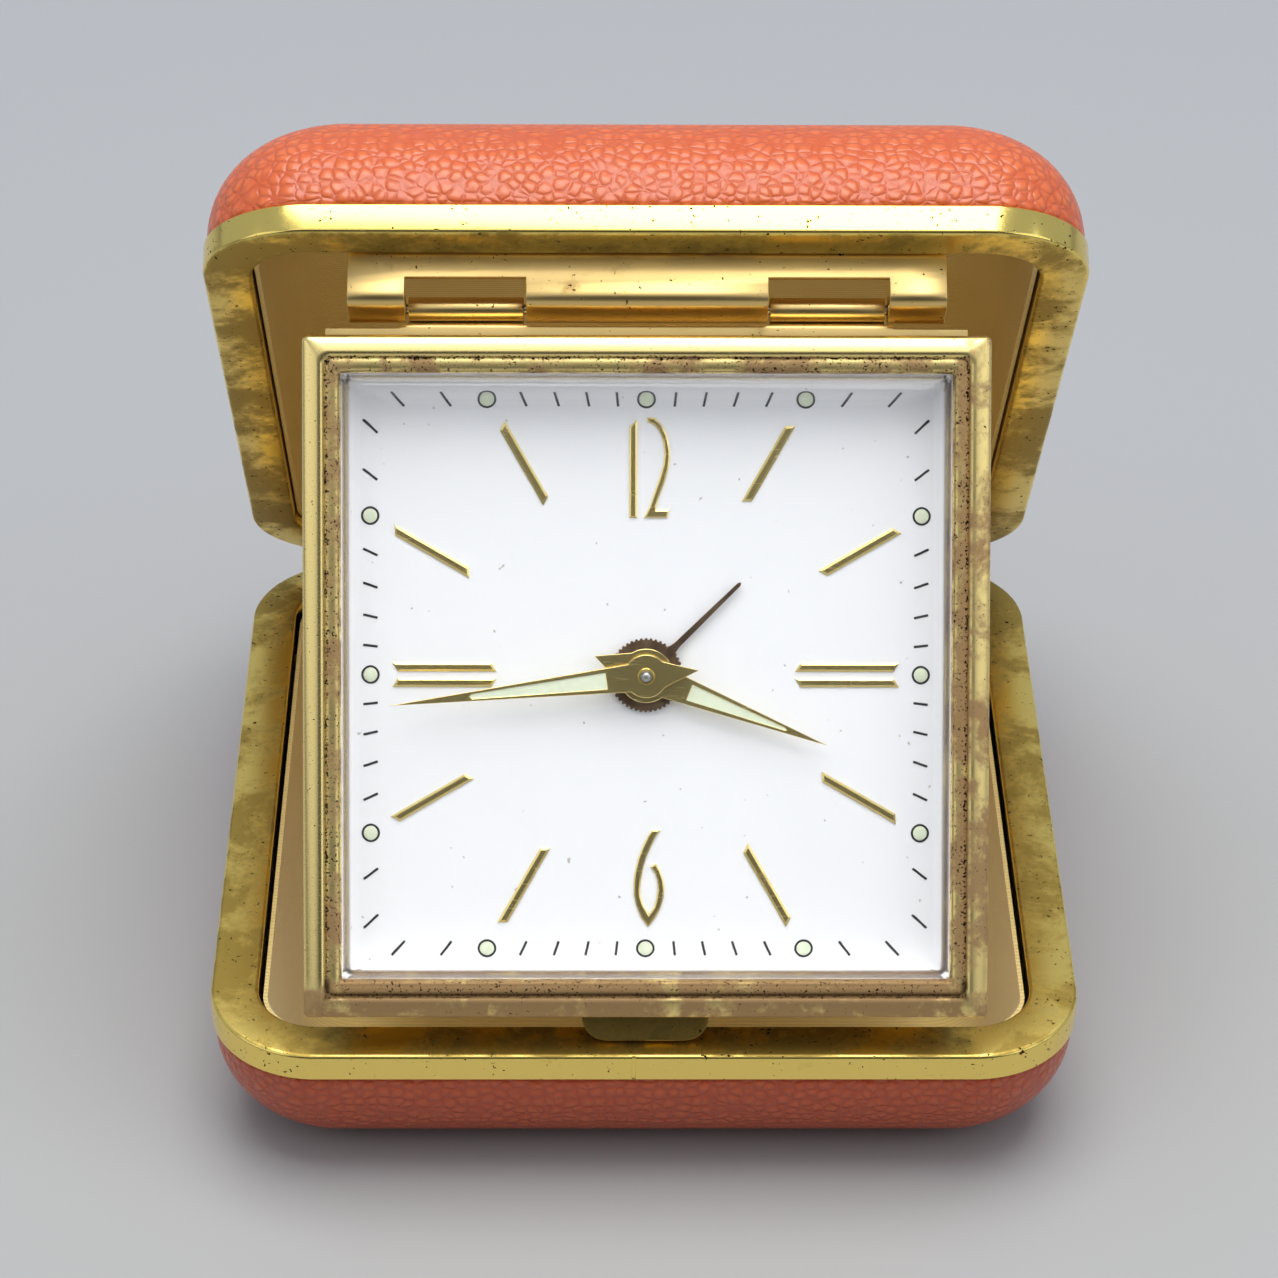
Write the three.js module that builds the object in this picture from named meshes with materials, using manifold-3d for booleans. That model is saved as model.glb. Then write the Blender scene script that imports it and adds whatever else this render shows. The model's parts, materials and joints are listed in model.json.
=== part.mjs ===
// Folding travel alarm clock. Two leather-covered pans with brass rims are hinged at the back.
// The square clock head hangs from a hinge at the lid's front edge, and its tab stands on the base rim,
// which props the lid open. Millimetres, X right, Y back, Z up, origin under the middle of the base.
import * as THREE from 'three';
import { mergeVertices } from 'three/addons/utils/BufferGeometryUtils.js';
import Module from 'manifold-3d';

const wasm = await Module();
wasm.setup();

// Case halves
const caseWidth = 80;
const caseDepth = 80;
const caseCorner = 10.1; // plan radius of the case corners
const shellHeight = 15; // from the mating face to the flat outer face of one half
const edgeRound = 11.2; // profile radius between the sides and the outer face
const flatCorner = 3.5; // plan radius where the flat outer face begins
const coverSheet = 0.7; // leather
const panSheet = 0.6; // pressed steel
const liningSheet = 0.4; // satin on card
const layerGap = 0.12; // glue line between the layers

// Brass rims
const rimWidth = 4.4; // of the flat mating face
const rimBand = 2.8; // height of the outer band
const rimSheet = 0.6;
const rimLip = 2.2; // depth of the inner lip
const rimEdge = 0.45; // rounding of the outer edge
const tuck = 0.8; // leather that reaches up behind the band
const coverSet = 0.25; // how far the leather stands back from the band

// Case hinge at the back
const hingeSetback = 1; // axis behind the rims' outer face
const hingeKnuckle = 0.9; // outer radius
const hingeBore = 0.5;
const hingePin = 0.35;
const hingeLength = 52;
const hingeKnuckles = 5;
const hingeLeaf = 0.5; // sheet of the leaves
const hingeLeafReach = 2.4; // from the axis down the band

// Head hinge at the lid's front
const headPinInset = 9.1; // axis behind the lid's front edge
const headPinRise = 3.3; // axis above the lid's mating face
const headPin = 0.45;
const headBore = 0.62;
const plateCurl = 1.2; // outer radius of the curl round the pin
const headKnuckle = 1;
const plateSheet = 0.6;
const plateWidth = 53.4;
const knuckleInner = 10.8; // the two notches, measured from the middle
const knuckleOuter = 21.6;

// Clock head
const bezelWidth = 61.5;
const bezelHeight = 61.2;
const bezelBand = 3.4; // from the outer edge to the glass
const bezelDepth = 3.4;
const bezelWall = 1.6;
const bezelLip = 1.7; // back of the lip that holds the crystal
const bezelTopGap = 2.33; // from the hinge axis down to the bezel
const faceAhead = 4; // bezel face in front of the hinge axis
const crystalRise = 0.6; // crown of the crystal above the bezel face
const crystalSheet = 1.2;
const crystalWall = 0.5; // of the steep edge
const dialDepth = 5.4; // dial face behind the bezel face
const dialSheet = 0.4;
const headDepth = 14.6; // back edge of the case behind the bezel face
const headSheet = 0.6;
const headCorner = 2.2;
const coverPlate = 0.6;
const coverDish = 0.4; // how far the back cover bulges
const fold = 1.6; // inward flange of the case, behind which the movement sits

// Support tab under the head
const tabLength = 2.58; // tip below the bezel
const tabWidth = 11.5;
const tabSheet = 0.8;
const tabBehind = 0.2; // tab's middle plane behind the hinge axis
const tabTipInset = 2; // tip behind the front edge of the base rim
const tabFoot = 6; // strap under the case
const tabRound = 2.2;

// Dial
const dialHole = 2.1;
const markRise = 0.12; // of the gilt batons above the dial
const batonWidth = 0.6;
const batonSlant = 0.5;
const steepBaton = [17.9, 26.2]; // ends of the batons at 1, 5, 7 and 11
const flatBaton = [18.2, 26.4]; // at 2, 4, 8 and 10
const sideBaton = [14, 23]; // the pairs at 3 and 9
const sideBatonShift = 0.72;
const numeralNear = 14.2; // foot of the 12 and top of the 6
const numeralFar = 22.9;
const numeralWidth = 0.5;

// Hands and their stack above the dial
const minuteReach = 23.4;
const minuteTail = 4.8;
const hourReach = 17.6;
const hourTail = 5;
const alarmReach = 12;
const handSheet = 0.25;
const handStep = 0.8; // from one hand to the next
const arborRadius = 0.5;
const minuteAngle = 263.4; // clockwise from 12, degrees
const hourAngle = 111;
const alarmAngle = 45.6;

// Movement
const plateSize = 53; // square brass plates
const plateCorner = 5;
const frontPlateDepth = 8.2; // its front face behind the bezel face
const backPlateDepth = 13;
const movementSheet = 0.8;
const pillarRadius = 1.4;
const pillarInset = 3.6;
const wheelSheet = 0.4;
const pinionLength = 0.7;
const trainArbor = 0.45; // radius of the thin arbors
const keyArbor = 1; // radius of the winding arbors
const keyPivot = 0.5;

// Teeth. Two wheels that meet share a module, and their teeth set how far apart they stand.
const addendum = 0.8; // tooth above the pitch circle, in modules
const dedendum = 1.2;
const barrelTeeth = 48;
const centreLeaves = 8;
const barrelModule = 0.38;
const centreTeeth = 48;
const thirdLeaves = 6;
const centreModule = 0.4;
const thirdTeeth = 45;
const fourthLeaves = 6;
const thirdModule = 0.36;
const fourthTeeth = 48;
const escapeLeaves = 6;
const fourthModule = 0.34;
const cannonLeaves = 10;
const minuteWheelTeeth = 30;
const minuteLeaves = 8;
const hourTeeth = 32;
const motionModule = 0.3;
const alarmLeaves = 16;
const alarmTeeth = 40;
const alarmModule = 0.4;

// Directions from one arbor to the next, seen from the front, degrees from 3 o'clock
const barrelBearing = -40;
const thirdBearing = 140;
const fourthBearing = 45;
const escapeBearing = 8;
const palletBearing = -55;
const motionBearing = 100;
const alarmKnobBearing = 215;

// Heights of the wheels' back faces behind the bezel face
const barrelLevel = -11;
const centreLevel = -9.75;
const thirdLevel = -12.65;
const fourthLevel = -11.3;
const escapeLevel = -12.65;
const palletLevel = -12;
const minuteWheelLevel = -7.8;
const hourWheelLevel = -7.2;
const alarmWheelLevel = -6.6;

// Escapement, balance and alarm
const escapeTeeth = 15;
const escapeRadius = 4.4;
const palletReach = 5.9; // between the escape wheel's and the pallets' arbors
const palletPin = 0.2;
const balanceReach = 7.2; // from the pallets' arbor to the balance
const balanceRadius = 6.2;
const balanceRim = 0.8;
const rollerRadius = 1.2;
const balanceLevel = -9.8;
const springLevel = -11;
const springTurns = 4;
const springInner = 1.4;
const springOuter = 4.2;
const springBlade = 0.2;
const drumRadius = 8.3; // spring barrels
const drumDepth = 1.8;
const alarmBarrelX = -13.5;
const alarmBarrelY = -16;
const hammerX = -21;
const hammerY = -3;
const hammerReach = 15;
const hammerHead = 1.8;

// Knobs and keys on the back
const knobHeight = 3.6;
const knobRadius = 4;
const knobNeck = 0.6; // share of the knob's radius
const alarmKnobArbor = 0.8;
const keyWing = 11;
const keyHeight = 3.4;
const stopX = -17;
const stopY = 20;
const stopStem = 0.8;
const screwHead = 1.3;
const screwShank = 0.7;

// Clearances
const seat = 0.25; // between a piece and what carries it
const running = 0.1; // between a shaft and its hole
const cornerSteps = 4;

// Colours
const brass = { color: 0xb9983f, roughness: 0.35, metalness: 1 };
const agedBrass = { color: 0xa98a45, roughness: 0.5, metalness: 1 };
const leather = { color: 0xc4553a, roughness: 0.6, metalness: 0 };
const steel = { color: 0x8d8f92, roughness: 0.4, metalness: 1 };
const satin = { color: 0xd2a45e, roughness: 0.5, metalness: 0.2 };
const gilt = { color: 0xc9a13b, roughness: 0.25, metalness: 1 };
const white = { color: 0xf1f0ee, roughness: 0.5, metalness: 0 };
const clear = { color: 0xf4f8ff, roughness: 0.05, metalness: 0, transparent: true, opacity: 0.25 };
const bronze = { color: 0x5a4230, roughness: 0.45, metalness: 1 };

const degrees = Math.PI / 180;

// Helpers

function mesh(name, geometry, finish) {
  const piece = new THREE.Mesh(geometry, new THREE.MeshStandardMaterial(finish));
  piece.name = name;
  return piece;
}

function solid(geometry) {
  const bare = geometry.clone();
  bare.deleteAttribute('normal');
  bare.deleteAttribute('uv');
  const merged = mergeVertices(bare, 1e-5);
  return new wasm.Manifold(new wasm.Mesh({
    numProp: 3,
    vertProperties: new Float32Array(merged.attributes.position.array),
    triVerts: new Uint32Array(merged.index.array),
  }));
}

function surface(body) {
  const out = body.getMesh();
  const geometry = new THREE.BufferGeometry();
  geometry.setAttribute('position', new THREE.BufferAttribute(new Float32Array(out.vertProperties), 3));
  geometry.setIndex(new THREE.BufferAttribute(new Uint32Array(out.triVerts), 1));
  geometry.computeVertexNormals();
  return geometry;
}

function join(...geometries) {
  return surface(geometries.map(solid).reduce((a, b) => a.add(b)));
}

function cut(geometry, ...tools) {
  return surface(tools.map(solid).reduce((body, tool) => body.subtract(tool), solid(geometry)));
}

// One closed outline of a rounded rectangle at height z, counter-clockwise.
function outline(halfX, halfY, corner, z, steps = cornerSteps) {
  const points = [];
  const radius = Math.max(corner, 0);
  for (const [signX, signY, start] of [[1, 1, 0], [-1, 1, 90], [-1, -1, 180], [1, -1, 270]]) {
    for (let k = 0; k <= steps; k += 1) {
      const angle = (start + (90 * k) / steps) * degrees;
      const x = signX * (halfX - radius) + radius * Math.cos(angle);
      const y = signY * (halfY - radius) + radius * Math.sin(angle);
      points.push(new THREE.Vector3(x, y, z));
    }
  }
  return points;
}

// Four sharp corners, for the mitred bezel.
function square(halfX, halfY, z) {
  return [[1, 1], [-1, 1], [-1, -1], [1, -1]].map(([sx, sy]) => new THREE.Vector3(sx * halfX, sy * halfY, z));
}

// Skin over a run of outlines. The run goes up the outside; a closed run meets itself, an open one is capped.
function loft(rings, closed = false) {
  const count = rings[0].length;
  const positions = rings.flat().flatMap((p) => [p.x, p.y, p.z]);
  const index = [];
  const spans = closed ? rings.length : rings.length - 1;
  for (let r = 0; r < spans; r += 1) {
    const a = r * count;
    const b = ((r + 1) % rings.length) * count;
    for (let i = 0; i < count; i += 1) {
      const j = (i + 1) % count;
      index.push(a + i, a + j, b + j, a + i, b + j, b + i);
    }
  }
  if (!closed) {
    const last = (rings.length - 1) * count;
    for (let i = 1; i < count - 1; i += 1) {
      index.push(0, i + 1, i);
      index.push(last, last + i, last + i + 1);
    }
  }
  const geometry = new THREE.BufferGeometry();
  geometry.setAttribute('position', new THREE.Float32BufferAttribute(positions, 3));
  geometry.setIndex(index);
  geometry.computeVertexNormals();
  return geometry;
}

function cylinder(radius, z0, z1, sides = 20, x = 0, y = 0) {
  const geometry = new THREE.CylinderGeometry(radius, radius, z1 - z0, sides);
  geometry.rotateX(Math.PI / 2);
  geometry.translate(x, y, (z0 + z1) / 2);
  return geometry;
}

// A cylinder along X between x0 and x1, about the axis at y, z.
function rod(radius, x0, x1, y, z, sides = 16) {
  const geometry = new THREE.CylinderGeometry(radius, radius, x1 - x0, sides);
  geometry.rotateZ(Math.PI / 2);
  geometry.translate((x0 + x1) / 2, y, z);
  return geometry;
}

function block(x0, x1, y0, y1, z0, z1) {
  const geometry = new THREE.BoxGeometry(x1 - x0, y1 - y0, z1 - z0);
  geometry.translate((x0 + x1) / 2, (y0 + y1) / 2, (z0 + z1) / 2);
  return geometry;
}

function tube(outer, inner, z0, z1, sides = 20, x = 0, y = 0) {
  const profile = [[inner, z0], [outer, z0], [outer, z1], [inner, z1], [inner, z0]];
  const geometry = new THREE.LatheGeometry(profile.map(([r, z]) => new THREE.Vector2(r, z)), sides);
  geometry.rotateX(Math.PI / 2);
  geometry.translate(x, y, 0);
  return geometry;
}

function plate(shape, z0, z1, curveSegments = 8) {
  const geometry = new THREE.ExtrudeGeometry(shape, { depth: z1 - z0, bevelEnabled: false, curveSegments });
  geometry.translate(0, 0, z0);
  return geometry;
}

function polygon(points) {
  return new THREE.Shape(points.map(([x, y]) => new THREE.Vector2(x, y)));
}

// A section drawn as [y, z] points and drawn out along X.
function drawn(points, x0, x1) {
  const geometry = plate(polygon(points), x0, x1);
  geometry.applyMatrix4(new THREE.Matrix4().set(0, 0, 1, 0, 1, 0, 0, 0, 0, 1, 0, 0, 0, 0, 0, 1));
  return geometry;
}

// Where the pieces stand. The lid falls back until the head's tab stands on the base rim, so the angles
// come from the triangle of case hinge, head hinge and tab tip.
const hingeY = caseDepth / 2 + hingeSetback;
const headPinReach = hingeSetback + caseDepth - headPinInset;
const tipReach = hingeSetback + caseDepth - tabTipInset;
const headDrop = bezelTopGap + bezelHeight + tabLength;
const hingeToPin = Math.hypot(headPinReach, headPinRise);
const hingeToTip = Math.hypot(tipReach, seat);
const pinToTip = Math.hypot(headDrop, tabBehind);
const cosine = (hingeToPin ** 2 + hingeToTip ** 2 - pinToTip ** 2) / (2 * hingeToPin * hingeToTip);
const pinElevation = Math.acos(cosine) + Math.atan2(seat, tipReach);
const lidOpen = pinElevation + Math.atan2(headPinRise, headPinReach);
const pinY = hingeY - hingeToPin * Math.cos(pinElevation);
const pinZ = shellHeight + hingeToPin * Math.sin(pinElevation);
const tipY = hingeY - tipReach;
const tipZ = shellHeight + seat;
const headLean = Math.atan2(pinY - tipY, pinZ - tipZ) + Math.atan2(tabBehind, headDrop);

// Case halves. Each is built mating face up at z = 0, with its outer face below.

const halfWidth = caseWidth / 2;
const halfDepth = caseDepth / 2;

function caseRing(inset, z) {
  return outline(halfWidth - inset, halfDepth - inset, caseCorner - inset, z);
}

// Rings down one layer of the pan, from its top edge to the flat face.
function panSide(inset, top) {
  const round = edgeRound - inset;
  const floor = inset - shellHeight;
  const rings = [caseRing(coverSet + inset, top)];
  for (let k = 0; k <= cornerSteps; k += 1) {
    const angle = (90 * k * degrees) / cornerSteps;
    const sink = round * (1 - Math.cos(angle));
    const corner = (caseCorner - inset) + (flatCorner - caseCorner + inset) * (sink / round);
    const z = floor + round * (1 - Math.sin(angle));
    const half = coverSet + inset + sink;
    rings.push(outline(halfWidth - half, halfDepth - half, Math.max(corner, 0.5), z));
  }
  return rings;
}

function pan(inset, sheet, top) {
  const outer = panSide(inset, top).reverse();
  const inner = panSide(inset + sheet, top);
  return loft([...outer, ...inner]);
}

const panInset = coverSheet + layerGap;
const liningInset = panInset + panSheet + layerGap;
const wallTop = -rimSheet - seat;

function coverGeometry() {
  const behindBand = rimSheet + seat;
  const neck = [
    caseRing(behindBand, tuck - rimBand),
    caseRing(behindBand, -rimBand - seat),
  ];
  const outer = panSide(0, -rimBand - 2 * seat).reverse();
  const inner = panSide(coverSheet, tuck - rimBand);
  inner[0] = caseRing(coverSet + coverSheet, tuck - rimBand);
  return loft([...outer, ...neck.reverse(), ...inner]);
}

function rimGeometry() {
  const section = [
    [0, -rimBand], [0, -rimEdge], [rimEdge * 0.3, -rimEdge * 0.3], [rimEdge, 0],
    [rimWidth - 0.3, 0], [rimWidth, -0.3], [rimWidth, -rimLip],
    [rimWidth - rimSheet, -rimLip], [rimWidth - rimSheet, -rimSheet], [rimSheet, -rimSheet],
    [rimSheet, -rimBand],
  ];
  return loft(section.map(([inset, z]) => caseRing(inset, z)), true);
}

// Knuckles of the case hinge belong to base and lid by turns.
function hingeLeafGeometry(first, side) {
  const pitch = hingeLength / hingeKnuckles;
  const leafY = -hingeSetback + running;
  const leafTop = side * (hingeKnuckle * 0.6);
  const leafEnd = side * hingeLeafReach;
  const low = Math.min(leafTop, leafEnd);
  const high = Math.max(leafTop, leafEnd);
  const bodies = [];
  for (let k = first; k < hingeKnuckles; k += 2) {
    const x0 = -hingeLength / 2 + k * pitch + running;
    const x1 = x0 + pitch - 2 * running;
    bodies.push(rod(hingeKnuckle, x0, x1, 0, 0));
    bodies.push(block(x0, x1, leafY, leafY + hingeLeaf, Math.min(0, leafEnd), Math.max(0, leafEnd)));
  }
  const half = hingeLength / 2;
  bodies.push(block(-half, half, leafY, leafY + hingeLeaf, side > 0 ? high - 1.2 : low, side > 0 ? high : low + 1.2));
  return cut(join(...bodies), rod(hingeBore, -half - 1, half + 1, 0, 0));
}

const base = new THREE.Group();
base.position.z = shellHeight;
base.add(
  mesh('base_cover', coverGeometry(), leather),
  mesh('base_shell', pan(panInset, panSheet, wallTop), steel),
  mesh('base_lining', pan(liningInset, liningSheet, wallTop - seat), satin),
  mesh('base_rim', rimGeometry(), brass),
);

const caseHinge = new THREE.Group();
caseHinge.position.set(0, hingeY, shellHeight);
caseHinge.add(
  mesh('base_hinge_leaf', hingeLeafGeometry(0, -1), brass),
  mesh('case_hinge_pin', rod(hingePin, -hingeLength / 2, hingeLength / 2, 0, 0, 12), steel),
);

// The lid's own frame is the case hinge, with the lid shut: it reaches forward, its outer face up.
const lid = new THREE.Group();
lid.rotation.x = -lidOpen;
caseHinge.add(lid);

const lidHalf = new THREE.Group();
lidHalf.position.y = -hingeSetback - halfDepth;
lidHalf.rotation.x = Math.PI;
lidHalf.add(
  mesh('lid_cover', coverGeometry(), leather),
  mesh('lid_shell', pan(panInset, panSheet, wallTop), steel),
  mesh('lid_lining', pan(liningInset, liningSheet, wallTop - seat), satin),
  mesh('lid_rim', rimGeometry(), brass),
);
lid.add(lidHalf, mesh('lid_hinge_leaf', hingeLeafGeometry(1, 1), brass));

// Hinge plate: a brass leaf that stands out of the lid beside the rim's lip, bends over and curls round the
// head's pin. Its section is drawn from the pin: first number towards the lid's front edge, second out of the lid.
function hingePlateGeometry() {
  const root = headPinInset - rimWidth - seat; // face of the rim's lip
  const rise = headPinRise;
  const outer = [];
  const inner = [];
  const sweep = 8;
  const squareness = 0.6; // 1 is an elliptical bend, less is a squarer one
  for (let k = 0; k <= sweep; k += 1) {
    const angle = (90 * k * degrees) / sweep;
    const across = Math.sin(angle) ** squareness;
    const down = 1 - Math.max(Math.cos(angle), 0) ** squareness;
    outer.push([root * across, plateCurl - (rise + plateCurl - 0.3) * down]);
    inner.push([
      (root - plateSheet) * across,
      plateCurl - plateSheet - (rise + plateCurl - 0.3 - plateSheet * 0.4) * down,
    ]);
  }
  outer.push([root, -rise - rimLip + 0.2]);
  inner.push([root - plateSheet, -rise - rimLip + 0.2]);
  const points = [...outer, ...inner.reverse()].map(([a, b]) => [-a, -b]);
  const half = plateWidth / 2;
  const leaf = join(drawn(points, -half, half), rod(plateCurl, -half, half, 0, 0, 20));
  const tools = [rod(headBore, -half - 1, half + 1, 0, 0, 16)];
  for (const side of [-1, 1]) {
    const x0 = Math.min(side * knuckleInner, side * knuckleOuter);
    const x1 = Math.max(side * knuckleInner, side * knuckleOuter);
    tools.push(block(x0, x1, -plateCurl - 1.9, plateCurl + 1, -plateCurl - 1, plateCurl + 1));
  }
  return cut(leaf, ...tools);
}

const headHinge = new THREE.Group();
headHinge.position.set(0, -headPinReach, -headPinRise);
headHinge.add(mesh('head_hinge_plate', hingePlateGeometry(), brass));
lid.add(headHinge);

// The head's frame: x right, y up the face, z out of the face, turned about the pin.
const head = new THREE.Group();
head.rotation.x = lidOpen + Math.PI / 2 - headLean;
headHinge.add(head);
head.add(mesh('head_hinge_pin', rod(headPin, -plateWidth / 2, plateWidth / 2, 0, 0, 14), steel));

// The clock's frame has its origin in the middle of the bezel's front plane.
const clock = new THREE.Group();
clock.position.set(0, -bezelTopGap - bezelHeight / 2, faceAhead);
head.add(clock);

const halfBezelX = bezelWidth / 2;
const halfBezelY = bezelHeight / 2;

function bezelGeometry() {
  const lipBack = -bezelLip;
  const section = [
    [0.2, -bezelDepth], [0, -bezelDepth + 0.3], [0, -1], [0.3, -0.6], [0.9, -0.25], [1.5, 0],
    [1.7, -0.12], [1.95, -0.45], [2.25, -0.3], [2.65, -0.24], [3, -0.35],
    [bezelBand, -1.2], [bezelBand, lipBack], [bezelWall, lipBack], [bezelWall, -bezelDepth],
  ];
  return loft(section.map(([inset, z]) => square(halfBezelX - inset, halfBezelY - inset, z)), true);
}

// The crystal is pressed acrylic: flat flange behind the bezel's lip, steep bevel, then a low crown.
function crystalGeometry() {
  const flangeX = halfBezelX - bezelWall - running;
  const flangeY = halfBezelY - bezelWall - running;
  const openX = halfBezelX - bezelBand - running;
  const openY = halfBezelY - bezelBand - running;
  const flangeFront = -bezelLip - running;
  const flangeBack = flangeFront - 0.8;
  const crown = (share, drop) => {
    const rings = [];
    for (const [inset, z] of share) {
      const x = openX - inset;
      const y = openY - inset;
      rings.push(outline(x, y, 0.6 + inset * 0.45, z - drop, 3));
    }
    return rings;
  };
  const steps = [[0, -0.9], [0.5, -0.45], [1.1, -0.2], [7, crystalRise * 0.45], [16, crystalRise * 0.9]];
  const front = crown([[0, flangeFront], ...steps], 0);
  const back = crown(steps.slice(1).map(([i, z]) => [i + crystalWall, z]), crystalSheet);
  const backEdge = outline(openX - crystalWall, openY - crystalWall, 0.6, flangeBack, 3);
  return loft([
    ...back.reverse(), backEdge,
    outline(flangeX, flangeY, 0.5, flangeBack, 3), outline(flangeX, flangeY, 0.5, flangeFront, 3),
    ...front,
  ]);
}

// Dial: a sheet that fills the case, with raised gilt batons and the two numerals.
function baton(clockAngle, [near, far], sideways = 0) {
  const left = sideways - batonWidth / 2;
  const right = sideways + batonWidth / 2;
  const shape = polygon([[left, near], [right, near + batonSlant], [right, far], [left, far - batonSlant]]);
  const geometry = plate(shape, -dialSheet / 2, markRise);
  geometry.rotateZ(-clockAngle * degrees);
  return geometry;
}

function stroke(points, width) {
  const left = [];
  const right = [];
  points.forEach(([x, y], k) => {
    const [px, py] = points[Math.max(k - 1, 0)];
    const [nx, ny] = points[Math.min(k + 1, points.length - 1)];
    const length = Math.hypot(nx - px, ny - py);
    const offsetX = (-(ny - py) / length) * (width / 2);
    const offsetY = ((nx - px) / length) * (width / 2);
    left.push([x + offsetX, y + offsetY]);
    right.push([x - offsetX, y - offsetY]);
  });
  return plate(polygon([...right, ...left.reverse()]), -dialSheet / 2, markRise);
}

function dialGeometry() {
  const halfX = halfBezelX - bezelWall - headSheet - seat - running;
  const halfY = halfBezelY - bezelWall - headSheet - seat - running;
  const sheet = loft([outline(halfX, halfY, 1.5, -dialSheet, 3), outline(halfX, halfY, 1.5, 0, 3)]);
  const marks = [];
  for (const hour of [1, 2, 4, 5, 7, 8, 10, 11]) {
    marks.push(baton(hour * 30, [1, 5, 7, 11].includes(hour) ? steepBaton : flatBaton));
  }
  for (const side of [-1, 1]) {
    for (const shift of [-sideBatonShift, sideBatonShift]) {
      marks.push(baton(side * 90, sideBaton, shift));
    }
  }
  // A numeral's points are given across the dial, and as a share of its height away from the centre.
  const away = (share) => numeralNear + share * (numeralFar - numeralNear);
  const numeral = (side, points) => points.map(([x, share]) => [x, side * away(share)]);
  const one = numeral(1, [[-1.2, 0], [-1.2, 1]]);
  const two = numeral(1, [
    [0.1, 0.99], [1.1, 0.93], [1.75, 0.78], [1.8, 0.61], [1.3, 0.39], [0.5, 0.11], [0.2, 0.03], [1.9, 0.03],
  ]);
  const six = numeral(-1, [
    [0.9, 0.01], [-0.3, 0.32], [-1, 0.57], [-0.6, 0.8], [0.1, 0.98], [0.9, 0.83], [1.35, 0.6], [0.9, 0.39], [0, 0.48],
  ]);
  marks.push(stroke(one, numeralWidth), stroke(two, numeralWidth), stroke(six, numeralWidth));
  const body = join(sheet, ...marks);
  return cut(body, cylinder(dialHole, -dialSheet - 1, 1, 20));
}

// Rings from the outer half sizes of the head's case, a square drum behind the bezel.
const headHalfX = halfBezelX - bezelWall - running;
const headHalfY = halfBezelY - bezelWall - running;
const caseFront = -bezelLip - running - 0.8 - seat;

function headCaseGeometry() {
  const outer = (z, inset = 0) => outline(headHalfX - inset, headHalfY - inset, headCorner - inset, z);
  return loft([
    outer(-headDepth + 0.5, 0), outer(caseFront), outer(caseFront, headSheet),
    outer(-headDepth + headSheet, headSheet), outer(-headDepth + headSheet, fold), outer(-headDepth, fold),
    outer(-headDepth, 0.5),
  ], true);
}

// Head's hinge leaf: a foot on the case's top wall, a riser behind the bezel, and two knuckles in the notches.
function headLeafGeometry() {
  const foot = headHalfY + seat;
  const pin = halfBezelY + bezelTopGap;
  const riserBack = -faceAhead - 0.3;
  const riserFront = -faceAhead + 0.3;
  const wide = headHalfX - 0.2;
  const strip = pin - plateCurl - 0.35;
  const bodies = [
    block(-wide, wide, foot, foot + plateSheet, -headDepth + 3, riserFront),
    block(-wide, wide, foot, halfBezelY + 0.6, riserBack, riserFront),
    block(-knuckleOuter - 0.6, knuckleOuter + 0.6, foot, strip, riserBack, riserFront),
  ];
  for (const side of [-1, 1]) {
    const x0 = Math.min(side * (knuckleInner + seat), side * (knuckleOuter - seat));
    const x1 = Math.max(side * (knuckleInner + seat), side * (knuckleOuter - seat));
    bodies.push(block(x0, x1, strip - 0.2, pin, riserBack, riserFront));
    bodies.push(rod(headKnuckle, x0, x1, pin, -faceAhead, 20));
  }
  return cut(join(...bodies), rod(headBore, -knuckleOuter - 1, knuckleOuter + 1, pin, -faceAhead, 16));
}

// Support tab: a bent strap under the case, its rounded leaf standing on the base rim.
function tabGeometry() {
  const under = -headHalfY - seat;
  const tip = -halfBezelY - tabLength;
  const middle = -faceAhead - tabBehind;
  const half = tabWidth / 2;
  const round = tabRound;
  const leaf = new THREE.Shape();
  leaf.moveTo(-half, under);
  leaf.lineTo(-half, tip + round);
  leaf.quadraticCurveTo(-half + 0.3, tip, -half + round, tip);
  leaf.lineTo(half - round, tip);
  leaf.quadraticCurveTo(half - 0.3, tip, half, tip + round);
  leaf.lineTo(half, under);
  const strap = block(-half, half, under - tabSheet, under, middle - tabFoot, middle + tabSheet / 2);
  return join(plate(leaf, middle - tabSheet / 2, middle + tabSheet / 2, 5), strap);
}

clock.add(
  mesh('bezel', bezelGeometry(), agedBrass),
  mesh('crystal', crystalGeometry(), clear),
  mesh('head_case', headCaseGeometry(), brass),
  mesh('head_hinge_leaf', headLeafGeometry(), brass),
  mesh('support_tab', tabGeometry(), agedBrass),
);

const dial = mesh('dial', dialGeometry(), white);
dial.position.z = -dialDepth;
clock.add(dial);

// Hands. Each is drawn towards 12 and turned clockwise to its reading.

function handShape(reach, tail, hub, width, windowStart, windowEnd) {
  const shape = new THREE.Shape();
  const shoulder = hub + 2.4;
  shape.moveTo(0, reach);
  shape.lineTo(-width / 2, shoulder);
  shape.lineTo(-0.6, hub * 0.9);
  shape.absarc(0, 0, hub, 107 * degrees, 233 * degrees, false);
  shape.lineTo(0, -tail);
  shape.absarc(0, 0, hub, 307 * degrees, 433 * degrees, false);
  shape.lineTo(width / 2, shoulder);
  const edge = 0.24;
  const taper = (r) => ((width / 2) * (reach - r)) / (reach - shoulder);
  const window = new THREE.Path();
  window.moveTo(-0.25, windowStart);
  window.lineTo(0.25, windowStart);
  window.lineTo(width / 2 - edge, shoulder + 0.2);
  window.lineTo(Math.max(taper(windowEnd) - edge, 0.08), windowEnd);
  window.lineTo(-Math.max(taper(windowEnd) - edge, 0.08), windowEnd);
  window.lineTo(-width / 2 + edge, shoulder + 0.2);
  shape.holes.push(window);
  return shape;
}

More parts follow.
